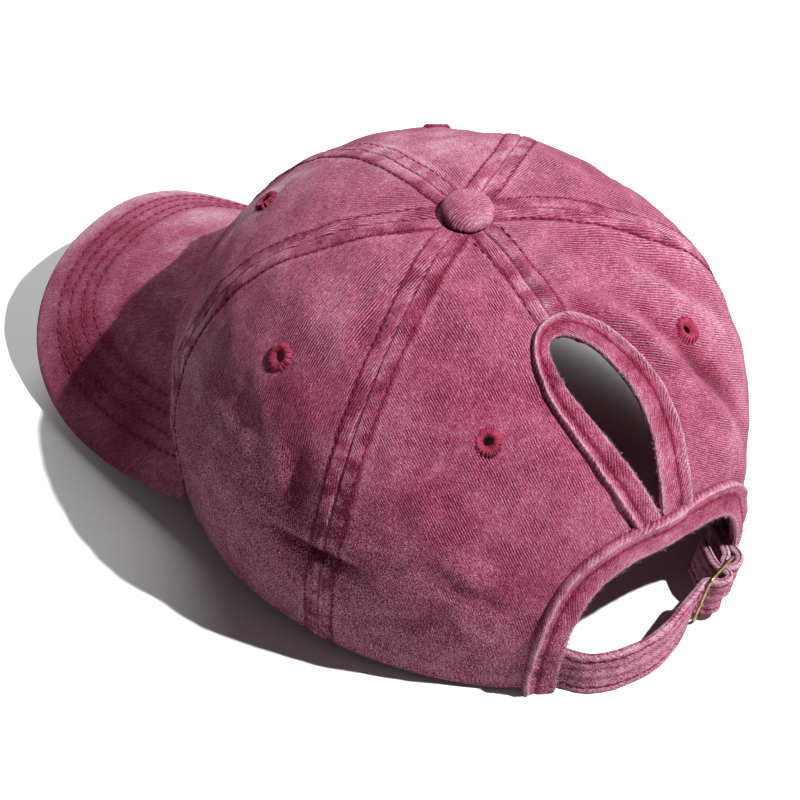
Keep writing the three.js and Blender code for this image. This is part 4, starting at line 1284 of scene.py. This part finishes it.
# %% [markdown]
# ## Thread
# Stitches repeat along a path, so Geometry Nodes set them out. The tree takes a row as a curve,
# sets a point at each stitch, and puts a grain of thread there along the row. Modelling each one
# by hand would give the same look with thousands of steps. The sizes are inputs, and the small
# unevenness has a fixed seed.

# %% Stitching tree
def new_tree(name, sizes):
    tree = bpy.data.node_groups.new(name, "GeometryNodeTree")
    tree.interface.new_socket("Row", in_out="INPUT", socket_type="NodeSocketGeometry")
    for label in sizes:
        tree.interface.new_socket(label, in_out="INPUT", socket_type="NodeSocketFloat")
    tree.interface.new_socket("Thread", in_out="INPUT", socket_type="NodeSocketMaterial")
    tree.interface.new_socket("Stitches", in_out="OUTPUT", socket_type="NodeSocketGeometry")
    return tree


def wires(tree):
    """Two short ways: to add a node with its inputs and settings, and to join two sockets."""
    def add(kind, inputs=None, **settings):
        node = tree.nodes.new(kind)
        for key, value in settings.items():
            setattr(node, key, value)
        for key, value in (inputs or {}).items():
            node.inputs[key].default_value = value
        return node
    return add, tree.links.new


def calc(add, join, operation, *values):
    """A maths node on outputs and plain numbers."""
    node = add("ShaderNodeMath", operation=operation)
    for number, value in enumerate(values):
        if isinstance(value, (int, float)):
            node.inputs[number].default_value = value
        else:
            join(value, node.inputs[number])
    return node.outputs[0]


def xyz(add, join, **parts):
    """A vector from outputs, given by axis."""
    node = add("ShaderNodeCombineXYZ")
    for axis, output in parts.items():
        join(output, node.inputs[axis])
    return node.outputs[0]


def points_along(add, join, start, step):
    """A point at each step along the row."""
    points = add("GeometryNodeCurveToPoints", mode="LENGTH")
    join(start.outputs["Row"], points.inputs["Curve"])
    join(start.outputs[step], points.inputs["Length"])
    return points


def finish_tree(add, join, start, points, grain, turn, size=None):
    """Puts a grain on each point, makes them real and gives them the finish of the thread."""
    put = add("GeometryNodeInstanceOnPoints")
    join(points, put.inputs["Points"])
    join(grain, put.inputs["Instance"])
    join(turn, put.inputs["Rotation"])
    if size is not None:
        join(size, put.inputs["Scale"])
    real = add("GeometryNodeRealizeInstances")
    paint = add("GeometryNodeSetMaterial")
    end = add("NodeGroupOutput")
    join(put.outputs[0], real.inputs[0])
    join(real.outputs[0], paint.inputs["Geometry"])
    join(start.outputs["Thread"], paint.inputs["Material"])
    join(paint.outputs[0], end.inputs[0])


def stitch_tree():
    tree = new_tree("Stitches along a row", ("Pitch", "Length", "Thickness"))
    add, join = wires(tree)
    start = add("NodeGroupInput")
    points = points_along(add, join, start, "Pitch")
    grain = add("GeometryNodeMeshUVSphere", {"Segments": 8, "Rings": 6, "Radius": 0.5})
    thick, long = start.outputs["Thickness"], start.outputs["Length"]
    shape = add("GeometryNodeTransform")
    join(grain.outputs["Mesh"], shape.inputs["Geometry"])
    join(xyz(add, join, X=thick, Y=thick, Z=long), shape.inputs["Scale"])
    uneven = add("FunctionNodeRandomValue",
                 {"Min": (-0.12, -0.12, -0.12), "Max": (0.12, 0.12, 0.12), "Seed": 7},
                 data_type="FLOAT_VECTOR")
    way = add("ShaderNodeVectorMath", operation="ADD")
    join(points.outputs["Tangent"], way.inputs[0])
    join(uneven.outputs["Value"], way.inputs[1])
    turn = add("FunctionNodeAlignRotationToVector", axis="Z")
    join(way.outputs[0], turn.inputs["Vector"])
    finish_tree(add, join, start, points.outputs["Points"], shape.outputs[0], turn.outputs[0])
    return tree


def row_object(name, rows):
    """A curve object with one line for each row, from points in mm."""
    curve = bpy.data.curves.new(name, "CURVE")
    curve.dimensions = "3D"
    for row in rows:
        line = curve.splines.new("POLY")
        line.points.add(len(row) - 1)
        values = np.concatenate([(row + PLACE) * MM, np.ones((len(row), 1))], 1)
        line.points.foreach_set("co", values.ravel())
    return link(bpy.data.objects.new(name, curve))


def run_tree(name, source, tree, sizes, material):
    """Runs a tree on an object, and keeps the result as a plain mesh piece."""
    step = source.modifiers.new(name, "NODES")
    step.node_group = tree
    sockets = {s.name: s.identifier for s in tree.interface.items_tree if s.in_out == "INPUT"}
    for label, value in {**sizes, "Thread": material}.items():
        step[sockets[label]] = value
    shaped = source.evaluated_get(bpy.context.evaluated_depsgraph_get())
    mesh = bpy.data.meshes.new_from_object(shaped)
    mesh.name = name
    source.modifiers.remove(step)
    bpy.data.objects.remove(source)
    mesh.shade_smooth()
    return link(bpy.data.objects.new(name, mesh))


STITCHES = stitch_tree()
print("tree:", STITCHES.name, "nodes:", len(STITCHES.nodes))

# %% [markdown]
# ## Dyed twill
# The cloth is garment-dyed twill that was washed hard: fine diagonal ribs, pale where they stand
# proud and deep crimson between them, a heathered grain, soft blotches, rubbed crests and dark
# folds, whose dark is partly painted shade. On the low left side, turned from the lamp, painted
# flecks stand in for fibres that catch grazing light, and the ribs are faded as they read in
# shade. A picture of cloth would be simpler, but a mesh of nodes needs no file and never repeats.
# The ribs read the flat map of the cloth, and the wash comes from the two stored shares, which
# hold painted light and shade as well as wear and dye.

# %% Material helpers
def new_material(name):
    """An empty material, with the two short ways to fill it."""
    material = bpy.data.materials.new(name)
    material.use_nodes = True
    material.node_tree.nodes.clear()
    return material, *wires(material.node_tree)


def noise_at(add, join, place, scale, detail, roughness=0.5):
    """A noise that reads a place, with its scale, detail and roughness."""
    noise = add("ShaderNodeTexNoise", {"Scale": scale, "Detail": detail, "Roughness": roughness})
    join(place, noise.inputs["Vector"])
    return noise.outputs["Fac"]


def bump_from(add, join, height, strength, distance):
    """A bump from a height, with its strength and its distance in metres."""
    bump = add("ShaderNodeBump", {"Strength": strength, "Distance": distance})
    join(height, bump.inputs["Height"])
    return bump.outputs[0]


def put_out(add, join, values, **joined):
    """The surface of a material, from plain values and from outputs, and its end."""
    surface = add("ShaderNodeBsdfPrincipled", values)
    for label, output in joined.items():
        join(output, surface.inputs[label.replace("_", " ")])
    end = add("ShaderNodeOutputMaterial")
    join(surface.outputs[0], end.inputs["Surface"])


def scaled_sum(add, join, terms, start):
    """start plus the sum of each output times its factor."""
    total = start
    for output, factor in terms:
        total = calc(add, join, "MULTIPLY_ADD", output, factor, total)
    return total


def colour_ramp(add, join, tint, stops):
    """Colours between stops, read by a tint."""
    ramp = add("ShaderNodeValToRGB")
    for _ in stops[2:]:
        ramp.color_ramp.elements.new(0.5)
    for element, (place, colour) in zip(ramp.color_ramp.elements, stops):
        element.position = place
        element.color = (*colour, 1)
    join(tint, ramp.inputs[0])
    return ramp.outputs["Color"]


print("shader helpers ready")

# %% Washed twill
DYE_RAMP = (
    (0.0, (0.062, 0.004, 0.0125)),
    (0.28, (0.18, 0.017, 0.0475)),
    (0.5, (0.305, 0.055, 0.114)),
    (0.72, (0.405, 0.134, 0.212)),
    (1.0, (0.57, 0.355, 0.44)),
)
RIB = 0.00078  # from rib to rib, in metres
WAVE_TURN = 0.31416  # a wave texture repeats in this length at a scale of 1
AWAY_FROM_LAMP = (0.75, 0.0, -0.65)  # towards the low left side, turned from the lamp


def washed_twill(name, level=0.505, ribs=0.55, grain=1.6, blotches=0.7, painted_fleck_strength=3.8):
    material, add, join = new_material(name)
    flat = add("ShaderNodeUVMap", uv_map="cloth").outputs[0]
    body = add("ShaderNodeTexCoord").outputs["Object"]
    wash = add("ShaderNodeAttribute", attribute_name="wash")
    shares = add("ShaderNodeSeparateColor")
    join(wash.outputs["Color"], shares.inputs[0])

    # ribs and threads lie in the flat map, and the threads are stretched along the ribs
    wave = add("ShaderNodeTexWave", {"Scale": WAVE_TURN / RIB, "Distortion": 2.4, "Detail": 2.5,
                                     "Detail Scale": 0.5, "Detail Roughness": 0.6},
               wave_type="BANDS", bands_direction="X")
    join(flat, wave.inputs["Vector"])
    stretch = add("ShaderNodeMapping", {"Scale": (1, 0.22, 1)})
    join(flat, stretch.inputs["Vector"])
    threads = noise_at(add, join, stretch.outputs[0], 1800.0, 3.0, 0.65)

    # the wash runs over the seams, so its noises read the place on the cap
    speck = noise_at(add, join, body, 2700.0, 3.0, 0.75)
    cloud = noise_at(add, join, body, 95.0, 6.0, 0.68)
    broad = noise_at(add, join, body, 26.0, 3.0, 0.55)

    # painted light: on the side turned from the lamp, flecks stand in for fibres that catch grazing
    # light, and the tint is lowered a little there
    low_side = add("ShaderNodeVectorMath", {1: AWAY_FROM_LAMP}, operation="DOT_PRODUCT")
    join(body, low_side.inputs[0])
    shade_side = add("ShaderNodeMapRange", {"From Min": -0.005, "From Max": 0.03})
    join(low_side.outputs["Value"], shade_side.inputs["Value"])
    shade_side = shade_side.outputs[0]
    painted_flecks = calc(add, join, "MULTIPLY", calc(add, join, "ADD", speck, -0.5), shade_side)

    # the ribs are worn away in patches, and faded on the side turned from the lamp: painted shade,
    # as ribs read weakly there
    worn = add("ShaderNodeMapRange",
               {"From Min": 0.38, "From Max": 0.58, "To Min": 1.0, "To Max": 0.25})
    join(cloud, worn.inputs["Value"])
    hidden = calc(add, join, "MULTIPLY_ADD", shade_side, -0.65, 1.0)
    clear = calc(add, join, "MULTIPLY", worn.outputs[0], hidden)
    rib = calc(add, join, "ADD", wave.outputs["Fac"], -0.5)
    shown = calc(add, join, "MULTIPLY", rib, clear)

    centre = level - 0.5 * (grain * 0.5 + grain + blotches + blotches * 0.5)
    tint = scaled_sum(add, join, (
        (shown, ribs),
        (threads, grain * 0.5),
        (speck, grain),
        (painted_flecks, painted_fleck_strength),
        (shade_side, -0.016 * painted_fleck_strength),
        (cloud, blotches),
        (broad, blotches * 0.5),
        (shares.outputs["Red"], 0.4),
        (shares.outputs["Green"], -0.45),
    ), centre)
    relief = scaled_sum(add, join, ((shown, 0.4), (threads, 0.3), (speck, 2.0)), 0.0)
    put_out(add, join, {"Roughness": 0.92, "Specular IOR Level": 0.05, "Sheen Weight": 0.06,
                        "Sheen Roughness": 0.4, "Sheen Tint": (0.9, 0.72, 0.82, 1)},
            Base_Color=colour_ramp(add, join, tint, DYE_RAMP),
            Normal=bump_from(add, join, relief, 1.0, 0.0004))
    return material


panel_twill = washed_twill("panel_twill")
binding_twill = washed_twill("binding_twill", level=0.54, ribs=0.4)
strap_twill = washed_twill("strap_twill", level=0.63, ribs=0.3, grain=2.2)
peak_twill = washed_twill("peak_twill", level=0.6, ribs=0.06, grain=1.5, painted_fleck_strength=0)
button_twill = washed_twill("button_twill", level=0.53, ribs=0.45)
print("twills:", [m.name for m in bpy.data.materials])

# %% [markdown]
# ## Thread and brass
# The thread took the dye deeper than the cloth, and has a slight shine. The brass is dull and
# slightly darkened in blotches.

# %% Thread and brass finishes
BRASS_RAMP = ((0.3, (0.1, 0.065, 0.025)), (0.62, (0.42, 0.31, 0.14)))


def thread(name, deep, bright):
    material, add, join = new_material(name)
    body = add("ShaderNodeTexCoord").outputs["Object"]
    twist = noise_at(add, join, body, 2600.0, 3.0, 0.7)
    slow = noise_at(add, join, body, 160.0, 2.0)
    tint = scaled_sum(add, join, ((twist, 1.7), (slow, 0.9)), -0.85)
    put_out(add, join, {"Roughness": 0.6, "Specular IOR Level": 0.1},
            Base_Color=colour_ramp(add, join, tint, ((0.0, deep), (1.0, bright))),
            Normal=bump_from(add, join, twist, 0.6, 0.0001))
    return material


def aged_brass():
    material, add, join = new_material("buckle_brass")
    body = add("ShaderNodeTexCoord").outputs["Object"]
    stain = noise_at(add, join, body, 420.0, 5.0, 0.6)
    fine = noise_at(add, join, body, 3000.0, 2.0)
    rough = add("ShaderNodeMapRange", {"To Min": 0.5, "To Max": 0.26})
    join(stain, rough.inputs["Value"])
    put_out(add, join, {"Metallic": 1.0},
            Base_Color=colour_ramp(add, join, stain, BRASS_RAMP),
            Roughness=rough.outputs[0],
            Normal=bump_from(add, join, fine, 0.3, 0.00004))
    return material


dark_thread = thread("seam_thread", (0.085, 0.003, 0.013), (0.2, 0.014, 0.04))
bright_thread = thread("edge_thread", (0.11, 0.004, 0.017), (0.26, 0.02, 0.054))
satin_thread = thread("eyelet_thread", (0.08, 0.002, 0.012), (0.4, 0.05, 0.105))
fibre = thread("loose_fibre", (0.25, 0.1, 0.15), (0.4, 0.27, 0.33))
brass = aged_brass()
print("finishes:", [m.name for m in bpy.data.materials])

# %% [markdown]
# ## Stitching on the seams, the peak and the edges
# Two rows follow each seam, four follow the peak's edge on both of its sides, one lies in the
# valley of each binding, and two follow the strap. Each row is a line of points on the finished
# surface, so the thread lies in its groove.

# %% Rows on the seams
SLOT_TOP = 66.5  # below this climb the back seam is cut away
STITCH_SIZES = {  # pitch, length and thickness, in metres
    "seam": (0.0029, 0.002, 0.0006),
    "peak": (0.0034, 0.0021, 0.00074),
    "edge": (0.0034, 0.0026, 0.00066),
    "strap": (0.0032, 0.0026, 0.0005),
}
LIFT = {"seam": 0.16, "peak": 0.1, "edge": 0.07, "strap": 0.02}  # over the cloth, in mm


def sew(kind, rows, material):
    """One piece of thread along rows of points."""
    sizes = dict(zip(("Pitch", "Length", "Thickness"), STITCH_SIZES[kind]))
    source = row_object(kind + "_rows", rows)
    return run_tree(kind + "_stitches", source, STITCHES, sizes, material)


def seam_rows():
    """Two rows of points beside each seam."""
    rows = []
    climb = np.linspace(0.8, 83.5, 170)
    for name in SEAMS:
        line = seam_turn(name, climb)
        per_turn, per_climb = mm_per_turn(line, climb), mm_per_climb(line, climb)
        slant = seam_slant(name, climb, per_turn, per_climb)
        for side in (-1, 1):
            turn = line + side * PAD * slant / per_turn
            points, normal, _, _ = cap_surface(turn, climb)
            row = points + normal * LIFT["seam"]
            rows.append(row[climb > SLOT_TOP] if name == "back" else row)
    return rows


panel_stitches = sew("seam", seam_rows(), dark_thread)
print("seam thread faces:", len(panel_stitches.data.polygons))

# %% Rows on the peak
def peak_rows():
    """Rows of points on both sides of the peak."""
    rows = []
    way = np.gradient(OUTLINE, axis=0)
    way = way / np.linalg.norm(way, axis=1, keepdims=True)
    inward = np.stack([-way[:, 1], way[:, 0]], -1)
    front = len(OUTLINE) // 2
    if ((OUTLINE.mean(0) - OUTLINE[front]) @ inward[front]) < 0:
        inward = -inward
    for gap in PEAK_ROWS:
        x, y = (OUTLINE + inward * gap).T
        angle = np.degrees(np.arctan2(x, FAN_Y - y))
        clear = np.hypot(x, y - FAN_Y) > np.interp(angle, RIM_ANGLE, RIM_REACH) + 0.8
        x, y = x[clear], y[clear]
        height, _, _ = peak_relief(x, y, np.full(x.shape, gap))
        lift = PEAK_THICK / 2 - PEAK_SKIN + height + LIFT["peak"]
        for side in (1, -1):
            rows.append(np.stack([*peak_to_cap(x, y), board_height(x, y) + side * lift], -1))
    return rows


peak_stitches = sew("peak", peak_rows(), bright_thread)
print("peak thread faces:", len(peak_stitches.data.polygons))

# %% Rows on the edges and the strap
ROW_FOOT = 1.6  # thread on the bindings ends at this height over the floor, in mm
ROW_ENDS = 8  # points left off each end of the slot's row, under the arch's strip


def binding_row(places, run, over=None):
    """A row of points in the valley of a binding."""
    turn, climb = (np.array([np.interp(VALLEY, COLUMNS, line) for line in grid])
                   for grid in places)
    points, normal, _, _ = cap_surface(turn, climb, seams=UNDER_STRIP)
    across = np.full(turn.shape, VALLEY)
    height, _, _ = binding_section(across, run, points)
    if over is not None:
        height = height + over(points, across)
    line = points + normal * (height + LIFT["edge"])[:, None]
    return line[line[:, 2] > ROW_FOOT]


def strap_rows(route, thick):
    """Rows of points along both edges of a strip, on both of its sides."""
    rows = []
    section = strip_section(thick)
    outer = section[:SIDE_POINTS]
    for up in (HEM, STRAP_TALL - HEM):
        half = float(np.interp(up, outer[:, 1], outer[:, 0]))
        for side in (1, -1):
            spot = np.array([[side * (half + LIFT["strap"]), up]])
            rows.append(band_points(route, spot)[:, 0])
    return rows


edge_lines = [binding_row(slot_places, slot_run)[ROW_ENDS:-ROW_ENDS],
              binding_row(arch_places, arch_run, step_over)]
edge_stitches = sew("edge", edge_lines, bright_thread)
strap_lines = strap_rows(strap_path, STRAP_THICK) + strap_rows(tab_path, TAB_THICK)
strap_stitches = sew("strap", strap_lines, bright_thread)
print("edge thread faces:", len(edge_stitches.data.polygons))

# %% [markdown]
# ## Frayed edges
# The raw edges of the bindings have shed short pale fibres. They too repeat along a path: the tree
# scatters points along the raw edge and stands a thin bent fibre on each, in a random direction.

# %% Fibres along the raw edges
FIBRE_FOOT = 1.4  # no fibre starts lower than this over the floor, in mm


def round_thread(add, join, line, sides, radius):
    """A thin round sweep along a curve, with closed ends."""
    ring = add("GeometryNodeCurvePrimitiveCircle", {"Resolution": sides})
    join(radius, ring.inputs["Radius"])
    solid = add("GeometryNodeCurveToMesh", {"Fill Caps": True})
    join(line, solid.inputs["Curve"])
    join(ring.outputs[0], solid.inputs["Profile Curve"])
    return solid.outputs[0]


def fibre_tree():
    tree = new_tree("Fibres along an edge", ("Spacing", "Length", "Thickness"))
    add, join = wires(tree)
    start = add("NodeGroupInput")
    points = points_along(add, join, start, "Spacing")
    hair = add("GeometryNodeCurvePrimitiveBezierSegment", {
        "Resolution": 5, "Start": (0, 0, 0), "Start Handle": (0.1, 0, 0.4),
        "End Handle": (0.45, 0.1, 0.7), "End": (0.5, 0.3, 0.9)})
    long = start.outputs["Length"]
    size = add("GeometryNodeTransform")
    join(hair.outputs[0], size.inputs["Geometry"])
    join(xyz(add, join, X=long, Y=long, Z=long), size.inputs["Scale"])
    solid = round_thread(add, join, size.outputs[0], 3, start.outputs["Thickness"])
    turn = add("FunctionNodeRandomValue",
               {"Min": (-3.1, -3.1, -3.1), "Max": (3.1, 3.1, 3.1), "Seed": 12},
               data_type="FLOAT_VECTOR")
    uneven = add("FunctionNodeRandomValue", {2: 0.35, 3: 1.25, "Seed": 5}, data_type="FLOAT")
    finish_tree(add, join, start, points.outputs["Points"], solid, turn.outputs["Value"],
                uneven.outputs[1])
    return tree


def raw_edge(places, lift):
    """A row of points along a binding's raw edge."""
    turn, climb = places[0][:, 0], places[1][:, 0]
    points, normal, _, _ = cap_surface(turn, climb, seams=UNDER_STRIP)
    return (points + normal * lift)[points[:, 2] > FIBRE_FOOT]


FIBRES = fibre_tree()
edges = [raw_edge(places, lift) for places in (slot_places, arch_places) for lift in (0.5, 1.1)]
fray = run_tree("frayed_edge", row_object("raw_edges", edges), FIBRES,
                {"Spacing": 0.0003, "Length": 0.0009, "Thickness": 0.00006}, fibre)
print("fibre faces:", len(fray.data.polygons))

# %% [markdown]
# ## Embroidered air holes
# Each air hole is whipped round with satin stitch: dozens of threads that rise from the hole, over
# a low padded ring, and back into the cloth. One arc of thread repeats about the middle of the
# hole, so this is again a tree, with the two radii, the height and the thickness as inputs.

# %% Satin ring tree
RING_THREADS = 84
RING_SIZES = {"Hole": 0.0015, "Outer": 0.0042, "Height": 0.00085, "Thickness": 0.0002}


def ring_tree():
    tree = new_tree("Satin stitches round a hole", ("Hole", "Outer", "Height", "Thickness"))
    add, join = wires(tree)
    start = add("NodeGroupInput")
    hole, outer, height = (start.outputs[label] for label in ("Hole", "Outer", "Height"))
    dots = add("GeometryNodeMeshCircle", {"Vertices": RING_THREADS, "Radius": 0.00001})
    middle = calc(add, join, "MULTIPLY", calc(add, join, "ADD", hole, outer), 0.5)
    arc = add("GeometryNodeCurveQuadraticBezier", {"Resolution": 9})
    for label, reach, rise in (("Start", hole, -0.75), ("Middle", middle, 2.6),
                               ("End", outer, -0.6)):
        level = calc(add, join, "MULTIPLY", height, rise)
        join(xyz(add, join, X=reach, Z=level), arc.inputs[label])
    solid = round_thread(add, join, arc.outputs[0], 6, start.outputs["Thickness"])
    index = add("GeometryNodeInputIndex").outputs[0]
    jitter = add("FunctionNodeRandomValue", {2: -0.05, 3: 0.05, "Seed": 3}, data_type="FLOAT")
    angle = calc(add, join, "MULTIPLY_ADD", index, 2 * math.pi / RING_THREADS, jitter.outputs[1])
    uneven = add("FunctionNodeRandomValue", {2: 0.88, 3: 1.1, "Seed": 9}, data_type="FLOAT")
    finish_tree(add, join, start, dots.outputs["Mesh"], solid, xyz(add, join, Z=angle),
                uneven.outputs[1])
    return tree


RINGS = ring_tree()


def make_eyelet(part):
    """A satin ring, stood on the crown at its air hole."""
    turn, climb = EYELETS[part]
    seed = link(bpy.data.objects.new("ring_seed", bpy.data.meshes.new("ring_seed")))
    ring = run_tree(part + "_eyelet", seed, RINGS, RING_SIZES, satin_thread)
    surface, normal, _, _ = cap_surface(float(turn), float(climb))
    spot = Vector((surface + PLACE) * MM)
    ring.data.transform(Matrix.Translation(spot) @ upright(normal).to_4x4())
    return ring


eyelets = {part: make_eyelet(part) for part in EYELETS}
print("eyelet faces:", len(eyelets["back_left"].data.polygons))

# %% [markdown]
# ## Which piece stands for which node
# Every piece takes the place of one imported solid, takes its finish, and rides on the one body of
# the cap. Thread and fibres are extra pieces that stand for no node.

# %% Dress the imported nodes
def dress(obj, material, slot, *nodes):
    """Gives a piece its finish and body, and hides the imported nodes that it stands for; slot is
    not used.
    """
    if nodes:
        obj.name = nodes[0] + "_finished"
    if material is not None:
        obj.data.materials.clear()
        obj.data.materials.append(material)
    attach(obj, "root")
    if nodes:
        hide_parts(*nodes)


for name, obj in panels.items():
    dress(obj, panel_twill, "panel_twill", name)
for part, obj in eyelets.items():
    dress(obj, satin_thread, "eyelet_thread", part + "_eyelet")
dress(button, button_twill, "button_twill", "top_button")
dress(peak, peak_twill, "peak_twill", "peak")
dress(arch_binding, binding_twill, "binding_twill", "arch_binding")
dress(slot_binding, binding_twill, "binding_twill", "ponytail_binding")
dress(strap, strap_twill, "strap_twill", "strap")
dress(tab, strap_twill, "strap_twill", "strap_tab")
dress(buckle, brass, "buckle_brass", "buckle")
for obj in (panel_stitches, peak_stitches, edge_stitches, strap_stitches, fray):
    dress(obj, None, "eyelet_thread")

# %% [markdown]
# ## Floor and light
# The cap stands on a white surface in hard light from behind its right side. A small lamp near by
# gives the crisp shadow, and a wide weak lamp on the other side and a dim white sky fill it. The
# lamps were placed by the edges of the shadows.

# %% Floor and light
FLOOR_HALF = 3  # metres
BOARD_RAMP = ((0.0, (0.83, 0.83, 0.825)), (1.0, (0.87, 0.87, 0.865)))


def pale_floor():
    h = FLOOR_HALF
    mesh = bpy.data.meshes.new("floor")
    mesh.from_pydata([(-h, -h, 0), (h, -h, 0), (h, h, 0), (-h, h, 0)], [], [(0, 1, 2, 3)])
    floor = link(bpy.data.objects.new("floor", mesh))
    material, add, join = new_material("white_board")
    grain = noise_at(add, join, add("ShaderNodeTexCoord").outputs["Object"], 300.0, 3.0)
    put_out(add, join, {"Roughness": 0.85, "Specular IOR Level": 0.2},
            Base_Color=colour_ramp(add, join, grain, BOARD_RAMP))
    mesh.materials.append(material)
    return floor


LAMP = {"place": (-190, 410, 700), "watts": 54.0, "radius": 0.009}  # place in mm, radius in m
FAR_LAMP = {"place": (-540, -800, 530), "watts": 11.0, "size": 0.85, "aim": 40}
SKY = {"colour": (0.95, 0.97, 1.0, 1), "strength": 0.07}


def lights():
    """The near lamp, the far lamp and the sky."""
    lamp = bpy.data.lights.new("lamp", "POINT")
    lamp.energy, lamp.shadow_soft_size = LAMP["watts"], LAMP["radius"]
    spot = link(bpy.data.objects.new("lamp", lamp))
    spot.location = (Vector(LAMP["place"]) + Vector(PLACE)) * MM
    far = bpy.data.lights.new("far_lamp", "AREA")
    far.shape, far.size, far.energy = "DISK", FAR_LAMP["size"], FAR_LAMP["watts"]
    soft = link(bpy.data.objects.new("far_lamp", far))
    place = Vector(FAR_LAMP["place"])
    soft.location = (place + Vector(PLACE)) * MM
    from_aim = place - Vector((0, 0, FAR_LAMP["aim"]))
    soft.rotation_euler = from_aim.to_track_quat("Z", "Y").to_euler()
    world = bpy.data.worlds.new("sky")
    world.use_nodes = True
    sky = world.node_tree.nodes["Background"]
    sky.inputs["Color"].default_value = SKY["colour"]
    sky.inputs["Strength"].default_value = SKY["strength"]
    bpy.context.scene.world = world


floor = pale_floor()
lights()
bpy.context.scene.view_settings.view_transform = "Standard"
print("floor and light ready")
